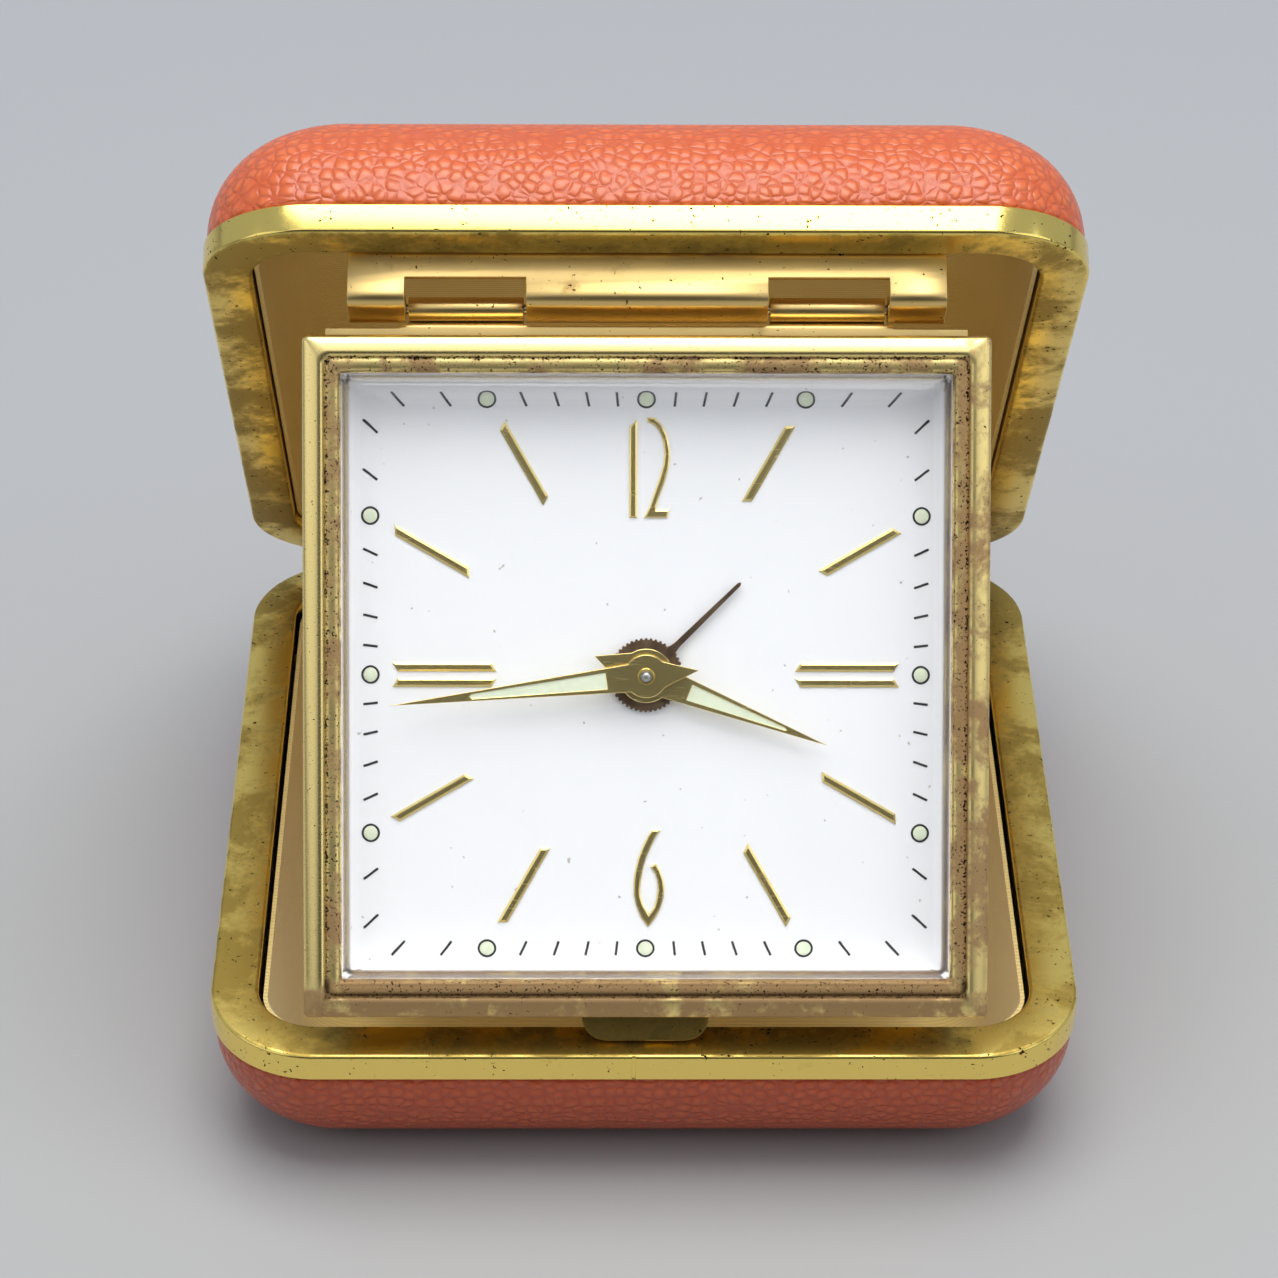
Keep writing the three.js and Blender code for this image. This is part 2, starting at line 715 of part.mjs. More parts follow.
function bored(shape, radius) {
  const bore = new THREE.Path();
  bore.absarc(0, 0, radius, 0, Math.PI * 2, true);
  shape.holes.push(bore);
  return shape;
}

const alarmLevel = -dialDepth + 0.35;
const hourLevel = alarmLevel + handStep;
const minuteLevel = hourLevel + handStep;
const hourPipeBore = arborRadius + running + 0.1;
const hourPipe = hourPipeBore + 0.4;
const alarmPipeBore = hourPipe + running;
const alarmPipe = alarmPipeBore + 0.3;

function minuteHandGeometry() {
  const shape = bored(handShape(minuteReach, minuteTail, 1.95, 1.7, 3.7, 16), arborRadius + running);
  return plate(shape, minuteLevel, minuteLevel + handSheet, 4);
}

function hourHandGeometry() {
  const shape = bored(handShape(hourReach, hourTail, 2.25, 1.9, 4.3, 13.4), hourPipe + running);
  return plate(shape, hourLevel, hourLevel + handSheet, 6);
}

function alarmHandGeometry() {
  const teeth = 16;
  const disc = new THREE.Shape();
  for (let k = 0; k < teeth; k += 1) {
    const at = (360 / teeth) * degrees;
    const point = (r, share) => [r * Math.cos((k + share) * at), r * Math.sin((k + share) * at)];
    if (k === 0) disc.moveTo(...point(3.3, 0));
    disc.lineTo(...point(3.3, 0.45));
    disc.lineTo(...point(2.95, 0.7));
    disc.lineTo(...point(3.3, 1));
  }
  bored(disc, alarmPipe + running);
  const rodShape = polygon([[-0.22, 2.4], [0.22, 2.4], [0.13, alarmReach], [-0.13, alarmReach]]);
  const front = alarmLevel + handSheet;
  return join(plate(disc, alarmLevel, front), plate(rodShape, alarmLevel, front));
}

function turned(piece, clockAngle) {
  piece.rotation.z = -clockAngle * degrees;
  return piece;
}

clock.add(
  turned(mesh('minute_hand', minuteHandGeometry(), gilt), minuteAngle),
  turned(mesh('hour_hand', hourHandGeometry(), gilt), hourAngle),
  turned(mesh('alarm_hand', alarmHandGeometry(), bronze), alarmAngle),
);

// Places of the arbors, worked out from the teeth that meet.

function beyond([x, y], distance, bearing) {
  return [x + distance * Math.cos(bearing * degrees), y + distance * Math.sin(bearing * degrees)];
}

function apart(module, teeth, leaves) {
  return (module * (teeth + leaves)) / 2;
}

const centreAt = [0, 0];
const barrelAt = beyond(centreAt, apart(barrelModule, barrelTeeth, centreLeaves), barrelBearing);
const thirdAt = beyond(centreAt, apart(centreModule, centreTeeth, thirdLeaves), thirdBearing);
const fourthAt = beyond(thirdAt, apart(thirdModule, thirdTeeth, fourthLeaves), fourthBearing);
const escapeAt = beyond(fourthAt, apart(fourthModule, fourthTeeth, escapeLeaves), escapeBearing);
const palletAt = beyond(escapeAt, palletReach, palletBearing);
const balanceAt = beyond(palletAt, balanceReach, 0);
const motionAt = beyond(centreAt, apart(motionModule, minuteWheelTeeth, cannonLeaves), motionBearing);
const alarmKnobAt = beyond(centreAt, apart(alarmModule, alarmTeeth, alarmLeaves), alarmKnobBearing);
const alarmBarrelAt = [alarmBarrelX, alarmBarrelY];
const hammerAt = [hammerX, hammerY];
const stopAt = [stopX, stopY];

// How far the second wheel is turned at rest for its teeth to stand in the gaps of the first one.
function inMesh(firstTurn, firstTeeth, secondTeeth, bearing) {
  const step = (Math.PI * 2) / firstTeeth;
  const towards = bearing * degrees;
  const share = (((towards - firstTurn) / step) % 1 + 1) % 1;
  return towards + Math.PI - ((0.5 - share) * Math.PI * 2) / secondTeeth;
}

const centreTurn = 0;
const barrelTurn = inMesh(centreTurn, centreLeaves, barrelTeeth, barrelBearing);
const thirdTurn = inMesh(centreTurn, centreTeeth, thirdLeaves, thirdBearing);
const fourthTurn = inMesh(thirdTurn, thirdTeeth, fourthLeaves, fourthBearing);
const escapeTurn = inMesh(fourthTurn, fourthTeeth, escapeLeaves, escapeBearing);
const motionTurn = inMesh(centreTurn, cannonLeaves, minuteWheelTeeth, motionBearing);
const hourTurn = inMesh(motionTurn, minuteLeaves, hourTeeth, motionBearing + 180);
const alarmKnobTurn = inMesh(0, alarmTeeth, alarmLeaves, alarmKnobBearing);

// Movement frame: two brass plates with four pillars riveted to the back one. Arbors run in holes in both.

const arborFront = -frontPlateDepth - movementSheet / 2;
const arborBack = -backPlateDepth - movementSheet / 2;
const trainArbors = [thirdAt, fourthAt, escapeAt, palletAt, balanceAt, hammerAt];
const pillarAt = plateSize / 2 - pillarInset;
const corners = [[1, 1], [-1, 1], [-1, -1], [1, -1]];

function hole(radius, [x, y], z0, z1, sides = 12) {
  return cylinder(radius + running, z0 - 1, z1 + 1, sides, x, y);
}

function movementPlate(depth) {
  const half = plateSize / 2;
  return loft([
    outline(half, half, plateCorner, -depth - movementSheet, 3), outline(half, half, plateCorner, -depth, 3),
  ]);
}

// The front plate carries the stud on which the minute wheel turns.
function frontPlateGeometry() {
  const z0 = -frontPlateDepth - movementSheet;
  const z1 = -frontPlateDepth;
  const holes = [hole(arborRadius, centreAt, z0, z1), hole(alarmKnobArbor, alarmKnobAt, z0, z1)];
  holes.push(...trainArbors.map((at) => hole(trainArbor, at, z0, z1, 8)));
  holes.push(hole(keyPivot, barrelAt, z0, z1, 8), hole(keyPivot, alarmBarrelAt, z0, z1, 8));
  const stud = cylinder(trainArbor, z0 + running, alarmWheelLevel - running, 10, ...motionAt);
  return cut(join(movementPlate(frontPlateDepth), stud), ...holes);
}

function backPlateGeometry() {
  const z0 = -backPlateDepth - movementSheet;
  const z1 = -backPlateDepth;
  const top = -frontPlateDepth - movementSheet - seat;
  const pillars = corners.map(([sx, sy]) => cylinder(pillarRadius, z1 - 0.2, top, 10, sx * pillarAt, sy * pillarAt));
  const holes = [
    hole(arborRadius, centreAt, z0, z1), hole(alarmKnobArbor, alarmKnobAt, z0, z1), hole(stopStem, stopAt, z0, z1),
    hole(keyArbor, barrelAt, z0, z1), hole(keyArbor, alarmBarrelAt, z0, z1),
  ];
  holes.push(...trainArbors.map((at) => hole(trainArbor, at, z0, z1, 8)));
  return cut(join(movementPlate(backPlateDepth), ...pillars), ...holes);
}

// Wheels. Teeth are plain points: the tip stands above the pitch circle, the root lies below it.

function toothed(teeth, module, z0, z1) {
  const pitch = (module * teeth) / 2;
  const points = [];
  for (let k = 0; k < teeth; k += 1) {
    for (const [share, radius] of [[0, pitch + addendum * module], [0.5, pitch - dedendum * module]]) {
      const angle = ((k + share) / teeth) * Math.PI * 2;
      points.push([radius * Math.cos(angle), radius * Math.sin(angle)]);
    }
  }
  return plate(polygon(points), z0, z1);
}

// A wheel is crossed out: a ring and four arms are left between the windows.
function windows(inner, outer, z0, z1) {
  const cuts = [];
  for (let quarter = 0; quarter < 4; quarter += 1) {
    const shape = new THREE.Shape();
    const start = quarter * 90 * degrees;
    shape.absarc(0, 0, outer, start + 11 * degrees, start + 79 * degrees, false);
    shape.absarc(0, 0, inner, start + 66 * degrees, start + 24 * degrees, true);
    cuts.push(plate(shape, z0 - 1, z1 + 1, 2));
  }
  return cuts;
}

function crossedWheel(teeth, module, z0) {
  const pitch = (module * teeth) / 2;
  const z1 = z0 + wheelSheet;
  return cut(toothed(teeth, module, z0, z1), ...windows(pitch * 0.3, pitch - 2.6 * module, z0, z1));
}

// A pinion is longer than the wheel it meets, by the same amount on both sides.
function pinionStart(wheelBack) {
  return wheelBack - (pinionLength - wheelSheet) / 2;
}

function wheelGeometry(teeth, module, z0, leaves, pinionModule, pinionBack) {
  const shaft = cylinder(trainArbor, arborBack, arborFront, 10);
  const pinion = toothed(leaves, pinionModule, pinionBack, pinionBack + pinionLength);
  return join(crossedWheel(teeth, module, z0), shaft, pinion);
}

// The centre wheel and its pinion are one piece. It sits on the centre arbor with friction, so the hands can be set.
function centreWheelGeometry() {
  const back = pinionStart(barrelLevel);
  const top = centreLevel + wheelSheet;
  const wheel = crossedWheel(centreTeeth, centreModule, centreLevel);
  const pinion = toothed(centreLeaves, barrelModule, back, centreLevel + running);
  return cut(join(wheel, pinion), hole(arborRadius, centreAt, back, top));
}

function cannonPinionGeometry() {
  const z0 = pinionStart(minuteWheelLevel);
  const z1 = hourWheelLevel - running;
  return cut(toothed(cannonLeaves, motionModule, z0, z1), hole(arborRadius, centreAt, z0, z1));
}

function minuteWheelGeometry() {
  const top = alarmWheelLevel - 2 * running;
  const wheel = toothed(minuteWheelTeeth, motionModule, minuteWheelLevel, minuteWheelLevel + wheelSheet);
  const pinion = toothed(minuteLeaves, motionModule, minuteWheelLevel + wheelSheet - running, top);
  return cut(join(wheel, pinion), hole(trainArbor, centreAt, minuteWheelLevel, top, 10));
}

function pipedWheel(teeth, module, z0, pipe, bore, top) {
  const wheel = cut(toothed(teeth, module, z0, z0 + wheelSheet), cylinder(bore, z0 - 1, z0 + 1, 16));
  return join(wheel, tube(pipe, bore, z0, top, 16));
}

function escapeWheelGeometry() {
  const points = [];
  for (let k = 0; k < escapeTeeth; k += 1) {
    for (const [share, radius] of [[0, escapeRadius], [0.18, escapeRadius - 0.15], [0.4, escapeRadius - 1.1]]) {
      const angle = ((k + share) / escapeTeeth) * Math.PI * 2;
      points.push([radius * Math.cos(angle), radius * Math.sin(angle)]);
    }
  }
  const top = escapeLevel + wheelSheet;
  const wheel = plate(polygon(points), escapeLevel, top);
  const shaft = cylinder(trainArbor, arborBack, arborFront, 10);
  const pinionBack = pinionStart(fourthLevel);
  return join(wheel, shaft, toothed(escapeLeaves, fourthModule, pinionBack, pinionBack + pinionLength));
}

// Pin-pallet lever: two arms with upright steel pins beside the escape wheel, and a fork towards the balance.
function palletLeverGeometry() {
  const back = palletLevel;
  const front = back + wheelSheet;
  const toWheel = palletBearing + 180;
  const pinCircle = escapeRadius + palletPin + seat;
  const pinSpread = 36;
  const bodies = [cylinder(trainArbor, arborBack, arborFront, 10), cylinder(1.1, back, front, 14)];
  for (const side of [-1, 1]) {
    const [wheelX, wheelY] = beyond([0, 0], palletReach, toWheel);
    const [x, y] = beyond([wheelX, wheelY], pinCircle, palletBearing + side * pinSpread);
    const reach = Math.hypot(x, y);
    const arm = block(0, reach, -0.35, 0.35, back, front);
    arm.rotateZ(Math.atan2(y, x));
    bodies.push(arm, cylinder(palletPin + 0.15, back, front, 10, x, y));
    bodies.push(cylinder(palletPin, escapeLevel, back + running, 8, x, y));
  }
  const forkLength = balanceReach - rollerRadius - 2 * seat;
  bodies.push(block(0, forkLength - 1, -0.35, 0.35, back, front));
  for (const side of [-1, 1]) {
    const middle = side * 0.45;
    bodies.push(block(forkLength - 1.4, forkLength, middle - 0.18, middle + 0.18, back, front));
  }
  return join(...bodies);
}

function balanceGeometry() {
  const top = balanceLevel + wheelSheet;
  const rim = tube(balanceRadius, balanceRadius - balanceRim, balanceLevel, top, 24);
  const span = balanceRadius - balanceRim / 2;
  const arms = block(-span, span, -0.4, 0.4, balanceLevel, top);
  const staff = cylinder(trainArbor, arborBack, arborFront, 10);
  const roller = cylinder(rollerRadius, palletLevel, palletLevel + wheelSheet, 16);
  const collet = cylinder(0.9, springLevel - 0.1, springLevel + wheelSheet + 0.1, 14);
  return join(rim, arms, staff, roller, collet);
}

// Hairspring: a flat blade wound in a spiral, its outer end pinned to a stud on the back plate.
function hairspringGeometry() {
  const perTurn = 12;
  const count = springTurns * perTurn;
  const side = (offset) => {
    const points = [];
    for (let k = 0; k <= count; k += 1) {
      const radius = springInner + ((springOuter - springInner) * k) / count + offset;
      const angle = (k / perTurn) * Math.PI * 2;
      points.push([radius * Math.cos(angle), radius * Math.sin(angle)]);
    }
    return points;
  };
  const blade = polygon([...side(-springBlade / 2), ...side(springBlade / 2).reverse()]);
  const studBack = -backPlateDepth + seat;
  const stud = cylinder(0.4, studBack, springLevel + wheelSheet, 10, springOuter, 0);
  return join(plate(blade, springLevel, springLevel + wheelSheet), stud);
}

// Spring barrels: closed drums, free to turn on their winding arbors. The going one has a toothed rim.
function barrelGeometry(rim) {
  const drum = cylinder(drumRadius, barrelLevel - drumDepth, barrelLevel + running, 28);
  return cut(join(drum, rim), hole(keyArbor, centreAt, barrelLevel - drumDepth, barrelLevel + wheelSheet, 14));
}

const barrelTop = barrelLevel + wheelSheet;
const toothedRim = toothed(barrelTeeth, barrelModule, barrelLevel, barrelTop);
const plainLid = cylinder(drumRadius - 0.4, barrelLevel, barrelTop, 28);

function hammerGeometry() {
  const back = palletLevel + 0.6;
  const arm = block(-0.6, 0.6, 0, hammerReach, back, back + wheelSheet);
  const head = cylinder(hammerHead, back - 0.6, back + 1.2, 18, 0, hammerReach);
  const body = join(arm, head, cylinder(1.2, back, back + 0.8, 14), cylinder(trainArbor, arborBack, arborFront, 10));
  body.rotateZ(3.8 * degrees);
  return body;
}

function placed(piece, [x, y], turn = 0) {
  piece.position.set(x, y, 0);
  piece.rotation.z = turn;
  return piece;
}

const thirdWheel = wheelGeometry(
  thirdTeeth, thirdModule, thirdLevel, thirdLeaves, centreModule, pinionStart(centreLevel),
);
const fourthWheel = wheelGeometry(
  fourthTeeth, fourthModule, fourthLevel, fourthLeaves, thirdModule, pinionStart(thirdLevel),
);
const hourWheel = pipedWheel(
  hourTeeth, motionModule, hourWheelLevel, hourPipe, hourPipeBore, hourLevel + handSheet,
);
const alarmWheel = pipedWheel(
  alarmTeeth, alarmModule, alarmWheelLevel, alarmPipe, alarmPipeBore, alarmLevel + handSheet,
);

clock.add(
  mesh('front_plate', frontPlateGeometry(), brass),
  mesh('back_plate', backPlateGeometry(), brass),
  placed(mesh('going_barrel', barrelGeometry(toothedRim), brass), barrelAt, barrelTurn),
  placed(mesh('alarm_barrel', barrelGeometry(plainLid), brass), alarmBarrelAt),
  placed(mesh('centre_wheel', centreWheelGeometry(), brass), centreAt, centreTurn),
  placed(mesh('third_wheel', thirdWheel, brass), thirdAt, thirdTurn),
  placed(mesh('fourth_wheel', fourthWheel, brass), fourthAt, fourthTurn),
  placed(mesh('escape_wheel', escapeWheelGeometry(), brass), escapeAt, escapeTurn),
  placed(mesh('pallet_lever', palletLeverGeometry(), steel), palletAt),
  placed(mesh('balance_wheel', balanceGeometry(), brass), balanceAt),
  placed(mesh('hairspring', hairspringGeometry(), steel), balanceAt),
  mesh('cannon_pinion', cannonPinionGeometry(), brass),
  placed(mesh('minute_wheel', minuteWheelGeometry(), brass), motionAt, motionTurn),
  placed(mesh('hour_wheel', hourWheel, brass), centreAt, hourTurn),
  mesh('alarm_wheel', alarmWheel, brass),
  placed(mesh('alarm_hammer', hammerGeometry(), steel), hammerAt),
);

// Back cover: a dished plate screwed to the ends of the pillars, with a hole for each knob, key and lever.

const coverFront = -headDepth - seat;
const coverBack = coverFront - coverPlate;
const knobBack = coverBack - coverDish - seat;
const regulatorRadius = 5.2;
const regulatorHalfAngle = 28;

// An arc slot about the balance axis, in which the regulator's finger swings.
function regulatorSlot(z0, z1) {
  const shape = new THREE.Shape();
  const half = 0.9;
  const span = (regulatorHalfAngle + 6) * degrees;
  const up = Math.PI / 2;
  shape.absarc(0, 0, regulatorRadius + half, up - span, up + span, false);
  shape.absarc(0, 0, regulatorRadius - half, up + span, up - span, true);
  const geometry = plate(shape, z0, z1, 5);
  geometry.translate(...balanceAt, 0);
  return geometry;
}

function backCoverGeometry() {
  const ring = (inset, z) => outline(headHalfX - inset, headHalfY - inset, headCorner, z, 3);
  const low = coverBack - coverDish;
  const body = loft([
    ring(3, low), ring(2.2, low), ring(1.6, coverBack), ring(0.3, coverBack), ring(0.3, coverFront),
  ]);
  const wide = (radius, at) => hole(radius + seat, at, low, coverFront);
  return cut(
    body, wide(arborRadius, centreAt), wide(alarmKnobArbor, alarmKnobAt), wide(keyArbor, barrelAt),
    wide(keyArbor, alarmBarrelAt), wide(stopStem, stopAt), regulatorSlot(low - 1, coverFront + 1),
    ...corners.map(([sx, sy]) => hole(screwShank, [sx * pillarAt, sy * pillarAt], low, coverFront, 8)),
  );
}

clock.add(mesh('back_cover', backCoverGeometry(), agedBrass));

// Four slotted screws hold the cover.
function screwGeometry() {
  const low = coverBack - coverDish - seat;
  const head = cut(cylinder(screwHead, low - 0.6, low, 12), block(-2, 2, -0.18, 0.18, low - 1, low - 0.35));
  return join(head, cylinder(screwShank, low - 0.1, -backPlateDepth - movementSheet - seat, 8));
}

corners.forEach(([sx, sy], k) => {
  const screw = mesh(`cover_screw_${k + 1}`, screwGeometry(), brass);
  clock.add(placed(screw, [sx * pillarAt, sy * pillarAt], (20 + 35 * k) * degrees));
});

// Centre arbor with the setting knob at its back end.
function centreArborGeometry() {
  return cylinder(arborRadius, knobBack - 1, minuteLevel + handSheet + 0.5, 14);
}

function flutedShape(radius, flutes, depth) {
  const points = [];
  for (let k = 0; k < flutes; k += 1) {
    for (const [share, r] of [[0, radius], [0.5, radius], [0.75, radius - depth]]) {
      const angle = ((k + share) / flutes) * Math.PI * 2;
      points.push([r * Math.cos(angle), r * Math.sin(angle)]);
    }
  }
  return polygon(points);
}

function knobGeometry(radius) {
  const grip = plate(flutedShape(radius, 14, 0.3), knobBack - knobHeight, knobBack - 0.8);
  return join(grip, cylinder(radius * knobNeck, knobBack - 1, knobBack, 16));
}

// The alarm knob's arbor runs through both plates to a pinion that turns the alarm wheel.
function alarmKnobGeometry() {
  const pinionBack = pinionStart(alarmWheelLevel);
  const arbor = cylinder(alarmKnobArbor, knobBack - 1.5, pinionBack + pinionLength - running, 14);
  return join(
    knobGeometry(knobRadius * 0.85), arbor,
    toothed(alarmLeaves, alarmModule, pinionBack, pinionBack + pinionLength - running),
  );
}

function keyGeometry() {
  const wing = new THREE.Shape();
  const half = keyWing / 2;
  wing.moveTo(-half + 0.8, -0.5);
  wing.lineTo(half - 0.8, -0.5);
  wing.lineTo(half, 0);
  wing.lineTo(half - 0.8, 0.5);
  wing.lineTo(-half + 0.8, 0.5);
  wing.lineTo(-half, 0);
  const arborEnd = barrelLevel + wheelSheet + 0.3;
  const shaft = cylinder(keyArbor, knobBack - 0.5, arborEnd, 14);
  const pivot = cylinder(keyPivot, arborEnd - 0.1, arborFront, 10);
  const hub = cylinder(2.2, knobBack - 1.4, knobBack, 18);
  return join(shaft, pivot, hub, plate(wing, knobBack - keyHeight, knobBack - 1));
}

const arborSocket = cylinder(arborRadius + running, knobBack - 1 - running, knobBack + 1, 14);

function stopButtonGeometry() {
  const head = cylinder(1.9, knobBack - 2.6, knobBack - 1.4, 18);
  return join(head, cylinder(stopStem, knobBack - 1.5, -backPlateDepth + 1.5, 14));
}

// The regulator turns on the back plate about the balance axis; its finger shows in the cover's slot.
function regulatorGeometry() {
  const z1 = -backPlateDepth - movementSheet - seat;
  const z0 = z1 - 0.4;
  const arm = polygon([[-0.6, 0], [0.6, 0], [0.5, regulatorRadius + 0.5], [-0.5, regulatorRadius + 0.5]]);
  const collar = cylinder(1.4, z0, z1, 16);
  const finger = cylinder(0.5, coverBack - 1.2, z1 - 0.1, 12, 0, regulatorRadius);
  return join(plate(arm, z0, z1), collar, finger);
}

clock.add(
  mesh('centre_arbor', centreArborGeometry(), steel),
  mesh('time_set_knob', cut(knobGeometry(knobRadius), arborSocket), brass),
  placed(mesh('alarm_set_knob', alarmKnobGeometry(), brass), alarmKnobAt, alarmKnobTurn),
  placed(mesh('time_winding_key', keyGeometry(), brass), barrelAt),
  placed(mesh('alarm_winding_key', keyGeometry(), brass), alarmBarrelAt),
  placed(mesh('alarm_stop_button', stopButtonGeometry(), brass), stopAt),
  placed(mesh('regulator_lever', regulatorGeometry(), steel), balanceAt),
);

const travelClock = new THREE.Group();
travelClock.add(base, caseHinge);

export default travelClock;
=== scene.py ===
import json
import math

import bmesh
import bpy
from mathutils import Matrix, Vector


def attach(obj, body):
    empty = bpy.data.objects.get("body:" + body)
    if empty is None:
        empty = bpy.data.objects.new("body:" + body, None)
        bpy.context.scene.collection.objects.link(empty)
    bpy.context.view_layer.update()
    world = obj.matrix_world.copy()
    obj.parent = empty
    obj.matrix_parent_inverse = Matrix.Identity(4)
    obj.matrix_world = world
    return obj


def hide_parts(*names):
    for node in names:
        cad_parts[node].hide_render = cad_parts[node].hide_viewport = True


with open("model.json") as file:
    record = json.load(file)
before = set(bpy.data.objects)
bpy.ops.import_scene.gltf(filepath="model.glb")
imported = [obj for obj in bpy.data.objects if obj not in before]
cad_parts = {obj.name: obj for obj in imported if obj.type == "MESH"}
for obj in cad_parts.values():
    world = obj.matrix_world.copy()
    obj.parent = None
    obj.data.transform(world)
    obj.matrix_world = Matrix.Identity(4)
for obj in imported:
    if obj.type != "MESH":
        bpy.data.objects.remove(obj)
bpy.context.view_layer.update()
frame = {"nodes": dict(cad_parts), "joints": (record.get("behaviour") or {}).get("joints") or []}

# Folding travel alarm clock, standing open: two leather-covered pans with brass rims, and the square clock
# head that hangs in the lid and props it up. Sections follow the clock as it is put together. Sizes are in
# millimetres and are scaled to metres when a piece is set in its place.

# The photographer stands a third of a metre away, looks down at the dial and frames the clock squarely.
# The lens is long, so the four sides of the bezel stay almost parallel.
camera_place = Vector((-0.00518, -0.33205, 0.26563))
looking_down = math.radians(35.001)
turned_left = math.radians(-0.831)
rolled = math.radians(0.543)

behind = Vector((math.sin(turned_left) * math.cos(looking_down),
                 -math.cos(turned_left) * math.cos(looking_down), math.sin(looking_down)))
level_right = Vector((math.cos(turned_left), math.sin(turned_left), 0))
level_up = behind.cross(level_right)
camera_right = level_right * math.cos(rolled) + level_up * math.sin(rolled)
camera_up = level_up * math.cos(rolled) - level_right * math.sin(rolled)

camera_data = bpy.data.cameras.new("camera")
camera_data.sensor_width = 36
camera_data.lens = 119.35
camera_data.clip_start = 0.01
camera_data.clip_end = 20
camera = bpy.data.objects.new("camera", camera_data)
camera_turn = Matrix((camera_right, camera_up, behind)).transposed().to_4x4()
camera.matrix_world = Matrix.Translation(camera_place) @ camera_turn
scene = bpy.context.scene
scene.collection.objects.link(camera)
scene.camera = camera
scene.view_settings.view_transform = "Standard"

# A pale grey table top under one overhead softbox that reaches behind the clock, with a faint reflector in
# front of it and a wide weak softbox on each side. The room is dim low in front, lighter high up and behind.
near_grey = (0.415, 0.41, 0.4, 1)
far_grey = (0.4, 0.41, 0.42, 1)
room_grey = (0.49, 0.54, 0.63, 1)
dim_front = 0.08
light_above = 0.84


def plug(tree, kind, sockets=None, **settings):
    """A shader node with its settings, and its inputs set to a value or linked to another node's output."""
    made = tree.nodes.new("ShaderNode" + kind)
    for name, value in settings.items():
        setattr(made, name, value)
    for key, value in (sockets or {}).items():
        if isinstance(value, bpy.types.NodeSocket):
            tree.links.new(value, made.inputs[key])
        else:
            made.inputs[key].default_value = value
    return made


def spot_on(tree):
    """Where a point lies, in the piece's own coordinates in metres."""
    return plug(tree, "TexCoord").outputs["Object"]


def apart(tree, vector):
    """A vector's three parts."""
    return plug(tree, "SeparateXYZ", {0: vector}).outputs


def reckon(tree, operation, *terms):
    return plug(tree, "Math", dict(enumerate(terms)), operation=operation).outputs[0]


def ramp(tree, value, low, high, start=0.0, end=1.0, kind="LINEAR"):
    """Carries a value from the range low to high over to start to end, and holds it at both ends."""
    return plug(tree, "MapRange", {0: value, 1: low, 2: high, 3: start, 4: end},
                interpolation_type=kind).outputs[0]


def soft_ramp(tree, value, low, high, start=0.0, end=1.0):
    return ramp(tree, value, low, high, start, end, "SMOOTHSTEP")


def blend(tree, share, first, second, kind="MIX"):
    """A share of the second colour over the first."""
    return plug(tree, "MixRGB", {0: share, 1: first, 2: second}, blend_type=kind).outputs[0]


def mottle(tree, place, scale, detail=2.0, **more):
    """Cloudy noise, whose spots are about one metre over the scale wide."""
    return plug(tree, "TexNoise", {"Vector": place, "Scale": scale, "Detail": detail, **more}).outputs[0]


def relief(tree, height, strength, depth):
    return plug(tree, "Bump", {"Strength": strength, "Distance": depth, "Height": height}).outputs[0]


def feed(node, **sources):
    """Links colours, masks or a relief to the sockets of a shader or a group."""
    for socket, source in sources.items():
        node.id_data.links.new(source, node.inputs[socket.replace("_", " ")])


def finish(name, **values):
    """A material with one Principled shader, whose plain sockets are set here."""
    material = bpy.data.materials.new(name)
    material.use_nodes = True
    shader = material.node_tree.nodes["Principled BSDF"]
    for socket, value in values.items():
        shader.inputs[socket.replace("_", " ").replace("Ior", "IOR")].default_value = value
    return material, material.node_tree, shader


table_finish, table_tree, table_shader = finish("table top", Roughness=0.6)
table_spot = spot_on(table_tree)
# The table top turns slightly bluer towards the back: a painted tint of the bluish light from behind.
table_depth = apart(table_tree, table_spot)["Y"]
table_fade = soft_ramp(table_tree, table_depth, -0.12, 0.2)
table_tone = blend(table_tree, table_fade, near_grey, far_grey)
grain_of_table = mottle(table_tree, table_spot, 900.0, 4.0)
table_bump = relief(table_tree, grain_of_table, 0.05, 0.0002)
feed(table_shader, Base_Color=table_tone, Normal=table_bump)

floor_mesh = bmesh.new()
bmesh.ops.create_circle(floor_mesh, cap_ends=True, radius=4, segments=64)
floor_data = bpy.data.meshes.new("table")
floor_mesh.to_mesh(floor_data)
floor_mesh.free()
floor_data.materials.append(table_finish)
table = bpy.data.objects.new("table", floor_data)
scene.collection.objects.link(table)

world = bpy.data.worlds.new("room")
world.use_nodes = True
room = world.node_tree
room_light = room.nodes["Background"]
looking = plug(room, "TexCoord").outputs["Generated"]
facing = apart(room, looking)
up_and_back = reckon(room, "MULTIPLY_ADD", facing["Z"], 0.9, facing["Y"])
room_level = soft_ramp(room, up_and_back, -0.5, 0.5, dim_front, light_above)
room_light.inputs["Color"].default_value = room_grey
feed(room_light, Strength=room_level)
scene.world = world

